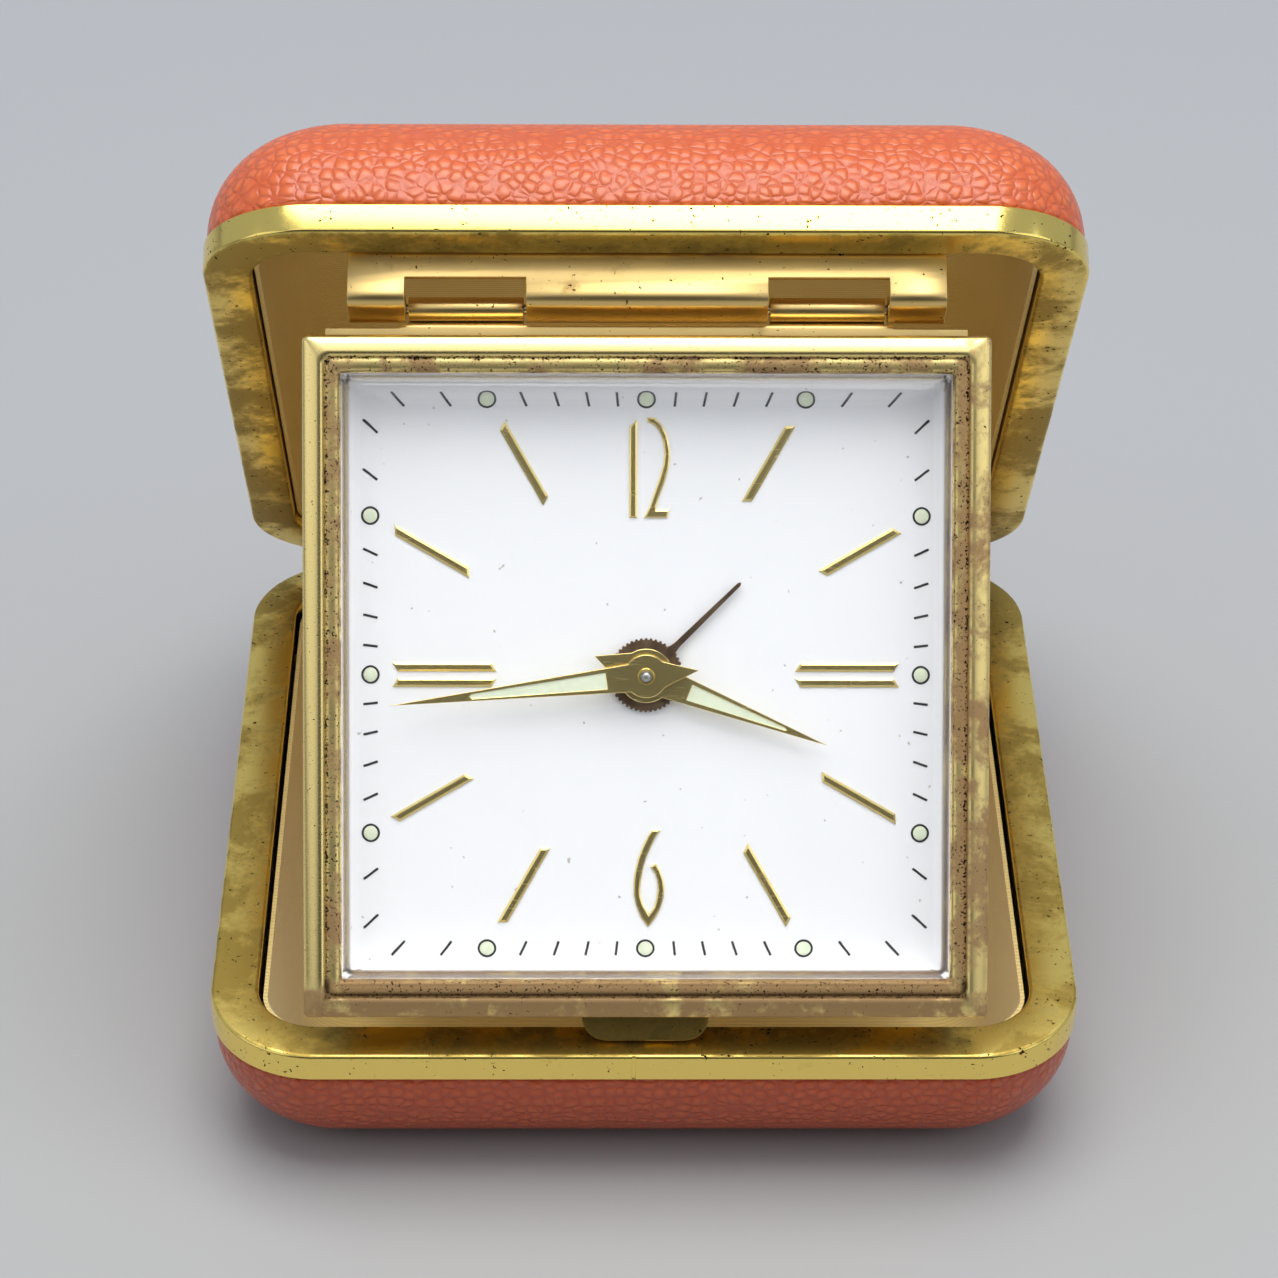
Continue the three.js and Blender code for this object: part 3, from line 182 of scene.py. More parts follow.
for name, place, size, power, colour in [
    ("overhead softbox", (0.02, 0.05, 0.95), (0.76, 0.72), 8.2, (1, 0.99, 0.97)),
    ("front reflector", (0, -0.6, 0.95), (0.9, 0.46), 1.0, (0.97, 0.98, 1)),
    ("left softbox", (-0.8, -0.55, 0.5), (0.9, 0.6), 1.35, (0.95, 0.97, 1)),
    ("right softbox", (0.82, -0.5, 0.5), (0.9, 0.6), 1.8, (0.95, 0.97, 1)),
]:
    softbox = bpy.data.lights.new(name, "AREA")
    softbox.shape = "RECTANGLE"
    softbox.size, softbox.size_y = size
    softbox.energy = power
    softbox.color = colour
    lamp = bpy.data.objects.new(name, softbox)
    lamp.location = place
    lamp.rotation_mode = "QUATERNION"
    lamp.rotation_quaternion = (Vector(place) - Vector((0, 0, 0.03))).to_track_quat("Z", "Y")
    scene.collection.objects.link(lamp)

# Leather covers of the base and the lid. Thin coral leather with a pebble grain is stretched over each
# pressed pan, and its edge is tucked behind the brass band.
case_width = 80.0
case_depth = 80.0
case_corner = 10.1
shell_height = 15.0
edge_round = 11.2
flat_corner = 3.5
cover_sheet = 0.7
cover_set = 0.25
rim_sheet = 0.6
rim_band = 2.8
tuck = 0.8
hinge_setback = 1.0
head_pin_inset = 9.1
head_pin_rise = 3.3
millimetre = Matrix.Scale(0.001, 4)

joints = {joint["name"]: joint for joint in frame["joints"]}
case_hinge = Vector(joints["lid_hinge"]["pos_m"])
head_pin = Vector(joints["head_fold"]["pos_m"])
to_pin = head_pin - case_hinge
pin_reach = hinge_setback + case_depth - head_pin_inset
lid_open = math.atan2(to_pin.z, -to_pin.y) + math.atan2(head_pin_rise, pin_reach)

base_place = Matrix.Translation((0, 0, shell_height * 0.001)) @ millimetre
hinge_place = Matrix.Translation(case_hinge) @ millimetre
lid_frame = hinge_place @ Matrix.Rotation(-lid_open, 4, "X")
lid_middle = lid_frame @ Matrix.Translation((0, -hinge_setback - case_depth / 2, 0))
lid_place = lid_middle @ Matrix.Rotation(math.pi, 4, "X")


def arc(start, end, steps):
    """Angles in radians from start to end degrees."""
    return [math.radians(start + (end - start) * k / steps) for k in range(steps + 1)]


def grow(bm, edges):
    """Draws a line of edges out once more, and gives the new vertices and the new line."""
    made = bmesh.ops.extrude_edge_only(bm, edges=edges)["geom"]
    fresh = [item for item in made if isinstance(item, bmesh.types.BMVert)]
    known = set(fresh)
    line = [item for item in made if isinstance(item, bmesh.types.BMEdge) and known.issuperset(item.verts)]
    return fresh, line


def settle(verts, aim, level):
    """Sets an outline's vertices on a rounded rectangle: half width, half depth, corner radius and height."""
    half_x, half_y, corner, z = level
    for vert in verts:
        x, y, _ = vert[aim]
        vert.co = (math.copysign(half_x - corner, x) + corner * x,
                   math.copysign(half_y - corner, y) + corner * y, z)


def start_outline(bm, steps):
    """The first outline of a sheet or body, and the attribute by which its copies find their places."""
    aim = bm.verts.layers.float_vector.new("aim")
    turn = Matrix.Rotation(math.pi / (4 * steps), 4, "Z")
    verts = bmesh.ops.create_circle(bm, segments=4 * steps, radius=1, matrix=turn)["verts"]
    for vert in verts:
        vert[aim] = vert.co
    return aim, verts


def sweep(levels, steps=12, closed=False):
    """One outline is drawn out from level to level. A closed run ends where it began, others are capped."""
    bm = bmesh.new()
    aim, verts = start_outline(bm, steps)
    settle(verts, aim, levels[0])
    line = first = bm.edges[:]
    for level in levels[1:] + levels[:1] if closed else levels[1:]:
        verts, line = grow(bm, line)
        settle(verts, aim, level)
    if not closed:
        bmesh.ops.edgeloop_fill(bm, edges=first)
        bmesh.ops.edgeloop_fill(bm, edges=line)
    return bm


def piece(name, bm, place, material, body, nodes=(), crease=38, bevel=0.0, gauge=0.0):
    """Sets a finished mesh in its place, keeps its millimetres as an attribute, and rides it on a body."""
    bmesh.ops.remove_doubles(bm, verts=bm.verts, dist=1e-4)
    bmesh.ops.recalc_face_normals(bm, faces=bm.faces)
    own = bm.verts.layers.float_vector.new("own")
    for vert in bm.verts:
        vert[own] = vert.co
    bmesh.ops.transform(bm, matrix=place, verts=bm.verts)
    data = bpy.data.meshes.new(name)
    bm.to_mesh(data)
    bm.free()
    data.shade_smooth()
    data.set_sharp_from_angle(angle=math.radians(crease))
    data.materials.append(material)
    made = bpy.data.objects.new(name, data)
    scene.collection.objects.link(made)
    if gauge:
        sheet = made.modifiers.new("gauge", "SOLIDIFY")
        sheet.thickness = gauge * 0.001
        sheet.offset = 0
        sheet.use_even_offset = True
    if bevel:
        rounded = made.modifiers.new("edges", "BEVEL")
        rounded.width = bevel * 0.001
        rounded.segments = 2
        rounded.limit_method = "ANGLE"
        rounded.angle_limit = math.radians(crease)
    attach(made, body)
    if nodes:
        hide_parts(*nodes)


def cover_mesh():
    """The cover rolls over the case's edge, dips under the band and comes back as its own inner face."""
    half_x, half_y = case_width / 2, case_depth / 2

    def level(inset, z, corner=None):
        return half_x - inset, half_y - inset, case_corner - inset if corner is None else corner, z

    hidden = rim_sheet + cover_set
    levels = []
    for angle in reversed(arc(0, 90, 20)):
        sink = edge_round * (1 - math.cos(angle))
        corner = case_corner + (flat_corner - case_corner) * sink / edge_round
        levels.append(level(cover_set + sink, -shell_height + edge_round * (1 - math.sin(angle)), corner))
    levels += [level(cover_set + 0.02, -rim_band - 0.55), level(cover_set + 0.12, -rim_band - 0.25),
               level(cover_set + 0.34, -rim_band - 0.08), level(hidden, -rim_band - 0.02),
               level(hidden, tuck - rim_band), level(hidden + 0.1, tuck - rim_band)]
    for angle in arc(0, 90, 8):
        depth = edge_round - cover_sheet
        sink = depth * (1 - math.cos(angle))
        corner = case_corner - cover_sheet + (flat_corner - case_corner + cover_sheet) * sink / depth
        z = cover_sheet - shell_height + depth * (1 - math.sin(angle))
        levels.append(level(cover_set + cover_sheet + sink, z, max(corner, 0.5)))
    return sweep(levels, steps=16)


leather, leather_tree, leather_shader = finish("pebbled leather", Roughness=0.3, Specular_IOR_Level=0.6)
where = spot_on(leather_tree)
sway = plug(leather_tree, "TexNoise", {"Vector": where, "Scale": 420.0, "Detail": 2.0})
swayed = blend(leather_tree, 0.0007, where, sway.outputs["Color"], "ADD")
cells = {"Vector": swayed, "Scale": 880.0, "Randomness": 0.8}
borders = plug(leather_tree, "TexVoronoi", cells, feature="DISTANCE_TO_EDGE").outputs["Distance"]
middles = plug(leather_tree, "TexVoronoi", cells, feature="F1").outputs["Distance"]
domes = soft_ramp(leather_tree, middles, 0.05, 0.75, 1.0, 0.0)
sides = soft_ramp(leather_tree, borders, -0.05, 0.24)
pebbles = reckon(leather_tree, "MULTIPLY_ADD", domes, 1.6, sides)
creases = soft_ramp(leather_tree, borders, 0.0, 0.24, 1.0, 0.0)
blotches = mottle(leather_tree, where, 85.0, 4.0)
worn = ramp(leather_tree, blotches, 0.38, 0.62, 0.14, 0.34)
pores = mottle(leather_tree, where, 3600.0, 3.0)
body_colour = blend(leather_tree, blotches, (0.62, 0.1, 0.022, 1), (0.7, 0.13, 0.032, 1))
crown_colour = blend(leather_tree, domes, body_colour, (0.76, 0.165, 0.045, 1))
crease_share = reckon(leather_tree, "MULTIPLY", creases, worn)
leather_colour = blend(leather_tree, crease_share, crown_colour, (0.42, 0.075, 0.03, 1))
grain_height = reckon(leather_tree, "MULTIPLY_ADD", pores, 0.08, pebbles)
leather_bump = relief(leather_tree, grain_height, 0.6, 0.0001)
# Below 12 mm up the leather is multiplied darker, fading out by 30 mm: a painted shade on the base's lower
# cover, which faces down and away from the lamps.
upright = apart(leather_tree, where)["Z"]
painted_low_shade = ramp(leather_tree, upright, 0.012, 0.03, 1.0, 0.0)
leather_with_low_shade = blend(leather_tree, painted_low_shade, leather_colour, (0.74, 0.58, 0.5, 1), "MULTIPLY")
feed(leather_shader, Base_Color=leather_with_low_shade, Normal=leather_bump)

for half, place in [("base", base_place), ("lid", lid_place)]:
    piece(f"{half}_leather", cover_mesh(), place, leather, half, [f"{half}_cover"])

# Brass rims. A strip is rolled to an angle, bent round the case and butted at the front, so each half has a
# flat mating face with a rounded outer edge, a band outside and a lip inside. The lacquer is worn in spots.
rim_width = 4.4
rim_lip = 2.2
rim_edge = 0.42
lip_edge = 0.35
seam_x = -1.05
seam_width = 0.36
seam_sunk = 0.16


def aged_metal_group():
    """Bright metal under worn lacquer: dull clouds, small specks and fine scratches, as colours and masks."""
    group = bpy.data.node_groups.new("aged metal", "ShaderNodeTree")
    for name, kind, value in [("Place", "NodeSocketVector", None),
                              ("Metal", "NodeSocketColor", (0.8, 0.6, 0.2, 1)),
                              ("Tarnish", "NodeSocketColor", (0.3, 0.2, 0.07, 1)),
                              ("Dirt", "NodeSocketColor", (0.03, 0.02, 0.01, 1)),
                              ("Clouds", "NodeSocketFloat", 0.5), ("Specks", "NodeSocketFloat", 0.3),
                              ("Shine", "NodeSocketFloat", 0.2)]:
        socket = group.interface.new_socket(name=name, in_out="INPUT", socket_type=kind)
        if value is not None:
            socket.default_value = value
    for name, kind in [("Color", "NodeSocketColor"), ("Roughness", "NodeSocketFloat"),
                       ("Height", "NodeSocketFloat")]:
        group.interface.new_socket(name=name, in_out="OUTPUT", socket_type=kind)
    given = group.nodes.new("NodeGroupInput").outputs
    place = given["Place"]
    wide = mottle(group, place, 110.0, 5.0, Roughness=0.62, Distortion=0.6)
    middle = mottle(group, place, 420.0, 5.0, Roughness=0.65)
    fine = mottle(group, place, 2300.0, 2.0)
    cloudy = reckon(group, "MULTIPLY_ADD", middle, 0.45, wide)
    threshold = ramp(group, given["Clouds"], 0.0, 1.0, 1.0, 0.45)
    top = reckon(group, "ADD", threshold, 0.22)
    cloud = soft_ramp(group, cloudy, threshold, top)
    speck_from = ramp(group, given["Specks"], 0.0, 1.0, 0.8, 0.52)
    speck_to = reckon(group, "ADD", speck_from, 0.05)
    spotted = reckon(group, "MULTIPLY_ADD", middle, 0.35, fine)
    lowered = reckon(group, "SUBTRACT", spotted, 0.17)
    speck = soft_ramp(group, lowered, speck_from, speck_to)
    brushed = {"Vector": place, "Scale": (1.0, 14.0, 14.0), "Rotation": (0.2, 0.3, 0.4)}
    hair = mottle(group, plug(group, "Mapping", brushed).outputs[0], 300.0, 3.0)
    scratch = ramp(group, hair, 0.62, 0.7)
    dulled = blend(group, cloud, given["Metal"], given["Tarnish"])
    spotty = blend(group, speck, dulled, given["Dirt"])
    rough_cloud = reckon(group, "MULTIPLY_ADD", cloud, 0.22, given["Shine"])
    rough_hair = reckon(group, "MULTIPLY_ADD", scratch, 0.06, rough_cloud)
    rough = reckon(group, "MULTIPLY_ADD", speck, 0.35, rough_hair)
    sunk = reckon(group, "MULTIPLY_ADD", speck, -1.0, 1.0)
    height = reckon(group, "MULTIPLY_ADD", cloud, -0.15, sunk)
    feed(group.nodes.new("NodeGroupOutput"), Color=spotty, Roughness=rough, Height=height)
    return group


aged_metal = aged_metal_group()


def aged_brass(name, metal, tarnish, dirt, clouds, specks, shine):
    """A brass in its own colours, with its shares of clouds and specks and its clean roughness."""
    material, tree, shader = finish(name, Metallic=1.0, Coat_Roughness=0.15)
    ages = plug(tree, "Group", node_tree=aged_metal)
    feed(ages, Place=spot_on(tree))
    for socket, value in [("Metal", metal), ("Tarnish", tarnish), ("Dirt", dirt)]:
        ages.inputs[socket].default_value = (*value, 1)
    for socket, value in [("Clouds", clouds), ("Specks", specks), ("Shine", shine)]:
        ages.inputs[socket].default_value = value
    bump = relief(tree, ages.outputs["Height"], 0.35, 0.00003)
    feed(shader, Base_Color=ages.outputs["Color"], Roughness=ages.outputs["Roughness"], Normal=bump)
    return material, tree, shader, ages


def own_spot(tree):
    """Where a point lies on its piece before the piece was set in its place, in millimetres."""
    return plug(tree, "Attribute", attribute_name="own").outputs["Vector"]


rim_brass, rim_tree, rim_shader, rim_ages = aged_brass(
    "rim brass", (0.93, 0.71, 0.19), (0.42, 0.3, 0.07), (0.05, 0.03, 0.01), 0.5, 0.3, 0.15)
rim_height = apart(rim_tree, own_spot(rim_tree))["Z"]
for socket, on_band, on_face in [("Clouds", 0.22, 0.74), ("Specks", 0.43, 0.42), ("Shine", 0.17, 0.3)]:
    feed(rim_ages, **{socket: ramp(rim_tree, rim_height, -0.3, -0.05, on_band, on_face)})


def rim_mesh():
    """The strip's section, from the foot of the band over the outer and the inner edge and back inside."""
    section = [(rim_sheet, -rim_band), (0.08, -rim_band), (0, -rim_band + 0.1)]
    section += [(rim_edge * (1 - math.cos(a)), -rim_edge * (1 - math.sin(a))) for a in arc(0, 90, 5)]
    section += [(rim_width - lip_edge * (1 - math.sin(a)), -lip_edge * (1 - math.cos(a)))
                for a in arc(0, 90, 4)]
    section += [(rim_width, -rim_lip), (rim_width - rim_sheet, -rim_lip)]
    section += [(rim_width - rim_sheet, -rim_sheet), (rim_sheet, -rim_sheet)]
    half_x, half_y = case_width / 2, case_depth / 2
    levels = [(half_x - inset, half_y - inset, case_corner - inset, z) for inset, z in section]
    return sweep(levels, steps=18, closed=True)


def cut_across(bm, *stations):
    """Cuts new edges all round a body at these places along X."""
    for x in stations:
        everything = bm.verts[:] + bm.edges[:] + bm.faces[:]
        bmesh.ops.bisect_plane(bm, geom=everything, plane_co=(x, 0, 0), plane_no=(1, 0, 0))


def cut_seam(bm):
    """The butt joint: a narrow strip across the front band stands a little back."""
    cut_across(bm, seam_x - seam_width / 2, seam_x + seam_width / 2)
    front = -case_depth / 2 + 0.2
    centres = {face: face.calc_center_median() for face in bm.faces}
    strip = [face for face, at in centres.items() if abs(at.x - seam_x) < seam_width / 2 and at.y < front]
    bmesh.ops.inset_region(bm, faces=strip, thickness=0.04, depth=-seam_sunk)


for half, place in [("base", base_place), ("lid", lid_place)]:
    strip_mesh = rim_mesh()
    if half == "base":
        cut_seam(strip_mesh)
    piece(f"{half}_brass_rim", strip_mesh, place, rim_brass, half, [f"{half}_rim"], crease=30)

# Satin linings on card. The gold cloth is pressed into each pan, with fine ribs that run across the case.
pan_sheet = 0.6
lining_sheet = 0.4
layer_gap = 0.12
lining_top = -rim_sheet - 0.5
rib_pitch = 0.5


def lining_mesh(slot_gap, lining_round, lean):
    """The card stands a little inside the rim's lip, so a dark slot shows between them, and leans inwards."""
    floor = cover_sheet + pan_sheet + 2 * layer_gap - shell_height
    tilt = math.radians(lean)
    levels = []
    for inset, z, order in [(rim_width + slot_gap - lining_sheet, floor, -1),
                            (rim_width + slot_gap, floor + lining_sheet, 1)]:
        run = [(case_width / 2 - inset, case_depth / 2 - inset, case_corner - inset, lining_top)]
        sunk = inset + (lining_top - z - lining_round * (1 - math.sin(tilt))) * math.tan(tilt)
        for angle in arc(lean, 90, 14):
            half = sunk + lining_round * (math.cos(tilt) - math.cos(angle))
            corner = case_corner - inset + (flat_corner - case_corner + inset) * (1 - math.cos(angle))
            rise = lining_round * (1 - math.sin(angle))
            run.append((case_width / 2 - half, case_depth / 2 - half, corner, z + rise))
        levels += run[::order]
    return sweep(levels)


satin, satin_tree, satin_shader = finish("ribbed satin", Roughness=0.34, Specular_IOR_Level=0.8,
                                         Sheen_Weight=0.3, Sheen_Roughness=0.4)
own_place = own_spot(satin_tree)
along = apart(satin_tree, own_place)["Y"]
phase = reckon(satin_tree, "MULTIPLY", along, 2 * math.pi / rib_pitch)
wave = reckon(satin_tree, "SINE", phase)
threads = mottle(satin_tree, own_place, 6.0, 3.0)
satin_shade = mottle(satin_tree, own_place, 0.08, 2.0)
satin_colour = blend(satin_tree, satin_shade, (0.98, 0.7, 0.22, 1), (1.0, 0.8, 0.34, 1))
valley = ramp(satin_tree, wave, -1.0, 1.0, 0.86, 1.0)
ribbed = blend(satin_tree, 1.0, satin_colour, valley, "MULTIPLY")
satin_height = reckon(satin_tree, "MULTIPLY_ADD", threads, 0.4, wave)
satin_bump = relief(satin_tree, satin_height, 0.4, 0.00005)
feed(satin_shader, Base_Color=ribbed, Normal=satin_bump)

for half, place, shape in [("base", base_place, (0.8, 5.5, 16)), ("lid", lid_place, (0.6, 6.2, 0))]:
    piece(f"{half}_satin", lining_mesh(*shape), place, satin, half, [f"{half}_lining"])

# The pressed steel pans show only as a thin edge between leather and lining, so the frame's own pans stay,
# in a grey mill finish with the lines of the rolling.
steel, steel_tree, steel_shader = finish("rolled steel", Metallic=1.0)
steel_place = spot_on(steel_tree)
rolled = plug(steel_tree, "Mapping", {"Vector": steel_place, "Scale": (1.0, 30.0, 30.0)}).outputs[0]
steel_lines = mottle(steel_tree, rolled, 160.0, 4.0)
steel_spots = mottle(steel_tree, steel_place, 600.0, 4.0)
spotted_steel = ramp(steel_tree, steel_spots, 0.58, 0.7)
steel_colour = blend(steel_tree, spotted_steel, (0.56, 0.55, 0.52, 1), (0.24, 0.19, 0.14, 1))
steel_rough = ramp(steel_tree, steel_lines, 0.0, 1.0, 0.2, 0.45)
steel_bump = relief(steel_tree, steel_lines, 0.15, 0.00002)
feed(steel_shader, Base_Color=steel_colour, Roughness=steel_rough, Normal=steel_bump)


def dress(node, material):
    """Gives a CAD node that keeps its own shape its finish."""
    data = frame["nodes"][node].data
    data.materials.clear()
    data.materials.append(material)


for half in ("base", "lid"):
    dress(f"{half}_shell", steel)

# Case hinge. Two strips of brass are rolled into knuckles round one steel wire, soldered behind the bands.
hinge_knuckle = 0.9
hinge_gauge = 0.4
hinge_wire = 0.35
hinge_length = 52.0
hinge_knuckles = 5
hinge_leaf_reach = 2.4
hinge_leaf_root = 1.2
hinge_play = 0.1


def rolled_sheet(path, stations, keep):
    """A sheet drawn out along X from a bent line. Parts that keep() turns down are cut away."""
    bm = bmesh.new()
    verts = [bm.verts.new((stations[0], y, z)) for y, z in path]
    line = [bm.edges.new(pair) for pair in zip(verts, verts[1:])]
    for start, end in zip(stations, stations[1:]):
        fresh, line = grow(bm, line)
        bmesh.ops.translate(bm, verts=fresh, vec=(end - start, 0, 0))
    dropped = [face for face in bm.faces if not keep(face.calc_center_median())]
    bmesh.ops.delete(bm, geom=dropped, context="FACES")
    return bm


def wire(bm, radius, start, end, sides=24):
    """A round wire along X with rounded ends."""
    turn = Matrix.Translation(((start + end) / 2, 0, 0)) @ Matrix.Rotation(math.pi / 2, 4, "Y")
    made = bmesh.ops.create_cone(bm, cap_ends=True, segments=sides, radius1=radius, radius2=radius,
                                 depth=end - start, matrix=turn)["verts"]
    edges = dict.fromkeys(edge for vert in made for edge in vert.link_edges)
    rims = [edge for edge in edges if any(len(face.verts) == sides for face in edge.link_faces)]
    bmesh.ops.bevel(bm, geom=rims, offset=radius * 0.25, segments=2, profile=0.5, affect="EDGES", material=-1)


pitch = hinge_length / hinge_knuckles
for half, place, first, side in [("base", hinge_place, 0, -1), ("lid", lid_frame, 1, 1)]:
    mid = hinge_knuckle - hinge_gauge / 2
    leaf_y = -hinge_setback + hinge_play + hinge_gauge
    path = [(leaf_y, side * hinge_leaf_reach), (leaf_y, side * hinge_leaf_root)]
    path += [(-mid * math.cos(a), side * mid * math.sin(a)) for a in arc(45, -270, 24)]
    stations = [-hinge_length / 2]
    for k in range(hinge_knuckles):
        stations += [-hinge_length / 2 + k * pitch + hinge_play,
                     -hinge_length / 2 + (k + 1) * pitch - hinge_play]
    stations += [hinge_length / 2]
    mine = [(stations[1 + 2 * k], stations[2 + 2 * k]) for k in range(first, hinge_knuckles, 2)]

    def in_leaf(centre, side=side, mine=mine):
        on_strip = side * centre.z > hinge_leaf_root
        return on_strip or any(low < centre.x < high for low, high in mine)

    piece(f"{half}_hinge_knuckles", rolled_sheet(path, stations, in_leaf), place, rim_brass, half,
          [f"{half}_hinge_leaf"], gauge=hinge_gauge, bevel=0.05)

case_wire = bmesh.new()
wire(case_wire, hinge_wire, -hinge_length / 2, hinge_length / 2)
piece("case_hinge_wire", case_wire, hinge_place, steel, "base", ["case_hinge_pin"])

# Head hinge plate. A brass strip is riveted inside the lid's front rim, arches over and rolls round a steel
# wire. Two notches let in the knuckles of the clock head's own leaf.
plate_curl = 1.2
plate_sheet = 0.6
plate_width = 53.4
knuckle_inner = 10.8
knuckle_outer = 21.6
head_wire = 0.45
pin_place = lid_frame @ Matrix.Translation((0, -pin_reach, -head_pin_rise))

plate_root = head_pin_inset - rim_width - 0.25 - plate_sheet / 2
plate_top = plate_curl - plate_sheet / 2
plate_lean = 0.4
plate_bend = 0.9
plate_rise = head_pin_rise + rim_lip - 0.2
plate_foot = plate_bend - plate_root + plate_lean
plate_path = [(plate_lean * k / 8 - plate_root, (1 - k / 8) * plate_rise) for k in range(8)]
plate_path += [(plate_foot - plate_bend * math.cos(a), plate_bend - plate_top - plate_bend * math.sin(a))
               for a in arc(0, 90, 10)]
plate_path += [(plate_foot * (1 - k / 4), -plate_top) for k in range(1, 4)]
plate_path += [(plate_top * math.sin(a), -plate_top * math.cos(a)) for a in arc(0, 300, 24)]
half_plate = plate_width / 2
plate_stations = [-half_plate, -knuckle_outer, -knuckle_inner, knuckle_inner, knuckle_outer, half_plate]
notch_rise = 1.15


def in_plate(centre):
    in_notch = knuckle_inner < abs(centre.x) < knuckle_outer
    return not (in_notch and centre.z < notch_rise)


hinge_brass = aged_brass(
    "hinge brass", (0.8, 0.57, 0.22), (0.56, 0.38, 0.14), (0.06, 0.035, 0.015), 0.35, 0.34, 0.3)[0]
piece("head_hinge_strip", rolled_sheet(plate_path, plate_stations, in_plate), pin_place, hinge_brass, "lid",
      ["head_hinge_plate"], gauge=plate_sheet, bevel=0.06)

head_wire_mesh = bmesh.new()
wire(head_wire_mesh, head_wire, -half_plate, half_plate)
piece("head_hinge_wire", head_wire_mesh, pin_place, steel, "lid", ["head_hinge_pin"])

# Clock head. A stamped brass drum is closed in front by a mitred bezel moulding that holds the crystal, and
# its hinge leaf is screwed to the top wall and rolled round the lid's wire.
bezel_width = 61.5
bezel_height = 61.2
bezel_wall = 1.6
bezel_band = 3.4
bezel_top_gap = 2.33
face_ahead = 4.0
head_depth = 14.6
head_sheet = 0.6
head_corner = 2.2
fit = 0.1
drum_round = 0.9
drum_lip = 1.6
flange_room = 0.8 + 0.25
face_axis = -Vector(joints["minute_turn"]["axis"])
face_side = Vector((1, 0, 0))
face_up = face_axis.cross(face_side)
clock_place = (Matrix.Translation(joints["minute_turn"]["pos_m"])
               @ Matrix((face_side, face_up, face_axis)).transposed().to_4x4() @ millimetre)
half_bezel_x = bezel_width / 2
half_bezel_y = bezel_height / 2
head_half_x = half_bezel_x - bezel_wall - fit
head_half_y = half_bezel_y - bezel_wall - fit

bezel_section = [(0.2, -3.4), (0, -3.2), (0, -1.0), (0.03, -0.8), (0.12, -0.62), (0.26, -0.48), (0.5, -0.34),
                 (0.8, -0.21), (1.1, -0.11), (1.36, -0.04), (1.56, -0.01), (1.74, -0.06), (1.9, -0.19),
                 (1.98, -0.34), (2.02, -0.5), (2.1, -0.49), (2.2, -0.44), (2.45, -0.4), (2.8, -0.4),
                 (3.08, -0.46), (3.26, -0.62), (3.36, -0.88), (3.4, -1.2), (3.4, -1.7), (1.6, -1.7),
                 (1.6, -3.4)]


def bezel_mesh():
    levels = []
    for inset, z in bezel_section:
        corner = 0.5 + 0.35 * min(inset, 1.3) if inset < 2 else 0.3
        levels.append((half_bezel_x - inset, half_bezel_y - inset, corner, z))
    return sweep(levels, steps=8, closed=True)


def outward(tree, own):
    """How far a point lies from the clock's middle towards the nearest side."""
    return reckon(tree, "MAXIMUM", reckon(tree, "ABSOLUTE", own["X"]), reckon(tree, "ABSOLUTE", own["Y"]))


bezel_brass, bezel_tree, bezel_shader, bezel_ages = aged_brass(
    "bezel brass", (0.95, 0.75, 0.3), (0.52, 0.34, 0.16), (0.05, 0.03, 0.015), 0.5, 0.42, 0.3)
feed(bezel_ages, Place=plug(bezel_tree, "VectorMath", {0: spot_on(bezel_tree), "Scale": 1.9},
                            operation="SCALE").outputs[0])
bezel_own = apart(bezel_tree, own_spot(bezel_tree))
bezel_out = outward(bezel_tree, bezel_own)
grooved = soft_ramp(bezel_tree, bezel_out, half_bezel_x - 1.9, half_bezel_x - 2.1)
from_groove = reckon(bezel_tree, "SUBTRACT", bezel_out, half_bezel_x - 2.12)
off_groove = reckon(bezel_tree, "ABSOLUTE", from_groove)
in_groove = ramp(bezel_tree, off_groove, 0.05, 0.25, 0.4, 0.0)
bezel_specks = reckon(bezel_tree, "MULTIPLY_ADD", grooved, 0.3, in_groove)
bezel_pitted = reckon(bezel_tree, "ADD", bezel_specks, 0.34)
low_side = ramp(bezel_tree, bezel_own["Y"], -26.8, -28.4, 0.0, 0.7)
bezel_clouds = reckon(bezel_tree, "MULTIPLY_ADD", grooved, 0.5, 0.2)
right_side = ramp(bezel_tree, bezel_own["X"], 27.6, 28.8, 0.0, 0.5)
worn_side = reckon(bezel_tree, "MAXIMUM", low_side, right_side)
face_dull = reckon(bezel_tree, "ADD", bezel_clouds, worn_side)
handled_front = ramp(bezel_tree, bezel_own["Z"], -3.6, -2.4, 0.3, 1.0)
bezel_dull = reckon(bezel_tree, "MULTIPLY", face_dull, handled_front)
bezel_shine = reckon(bezel_tree, "MULTIPLY_ADD", bezel_dull, 0.16, 0.24)
feed(bezel_ages, Specks=bezel_pitted, Clouds=bezel_dull, Shine=bezel_shine)
# On the bezel's lower side the groove step and the inner lip are darkened: partly dirt in the step, partly
# painted shade over the bright lines these upward-facing faces would catch from the overhead softbox.
low_side_share = ramp(bezel_tree, bezel_own["Y"], -26.6, -27.6, 0.0, 0.9)
step_dirt_and_shade = ramp(bezel_tree, off_groove, 0.12, 0.42, 1.0, 0.0)
lip_painted_shade = ramp(bezel_tree, bezel_out, half_bezel_x - 2.95, half_bezel_x - 3.15, 0.0, 0.75)
step_and_lip_darkening = reckon(bezel_tree, "MAXIMUM", step_dirt_and_shade, lip_painted_shade)
low_dirt_and_shade = reckon(bezel_tree, "MULTIPLY", low_side_share, step_and_lip_darkening)
bezel_dirt_and_shade_colour = blend(bezel_tree, low_dirt_and_shade, bezel_ages.outputs["Color"], (0.13, 0.08, 0.035, 1))
feed(bezel_shader, Base_Color=bezel_dirt_and_shade_colour)
piece("bezel_moulding", bezel_mesh(), clock_place, bezel_brass, "head", ["bezel"], crease=32)

drum_front = -1.7 - fit - flange_room


def drum_level(inset, z):
    return head_half_x - inset, head_half_y - inset, max(head_corner - inset, 0.8), z


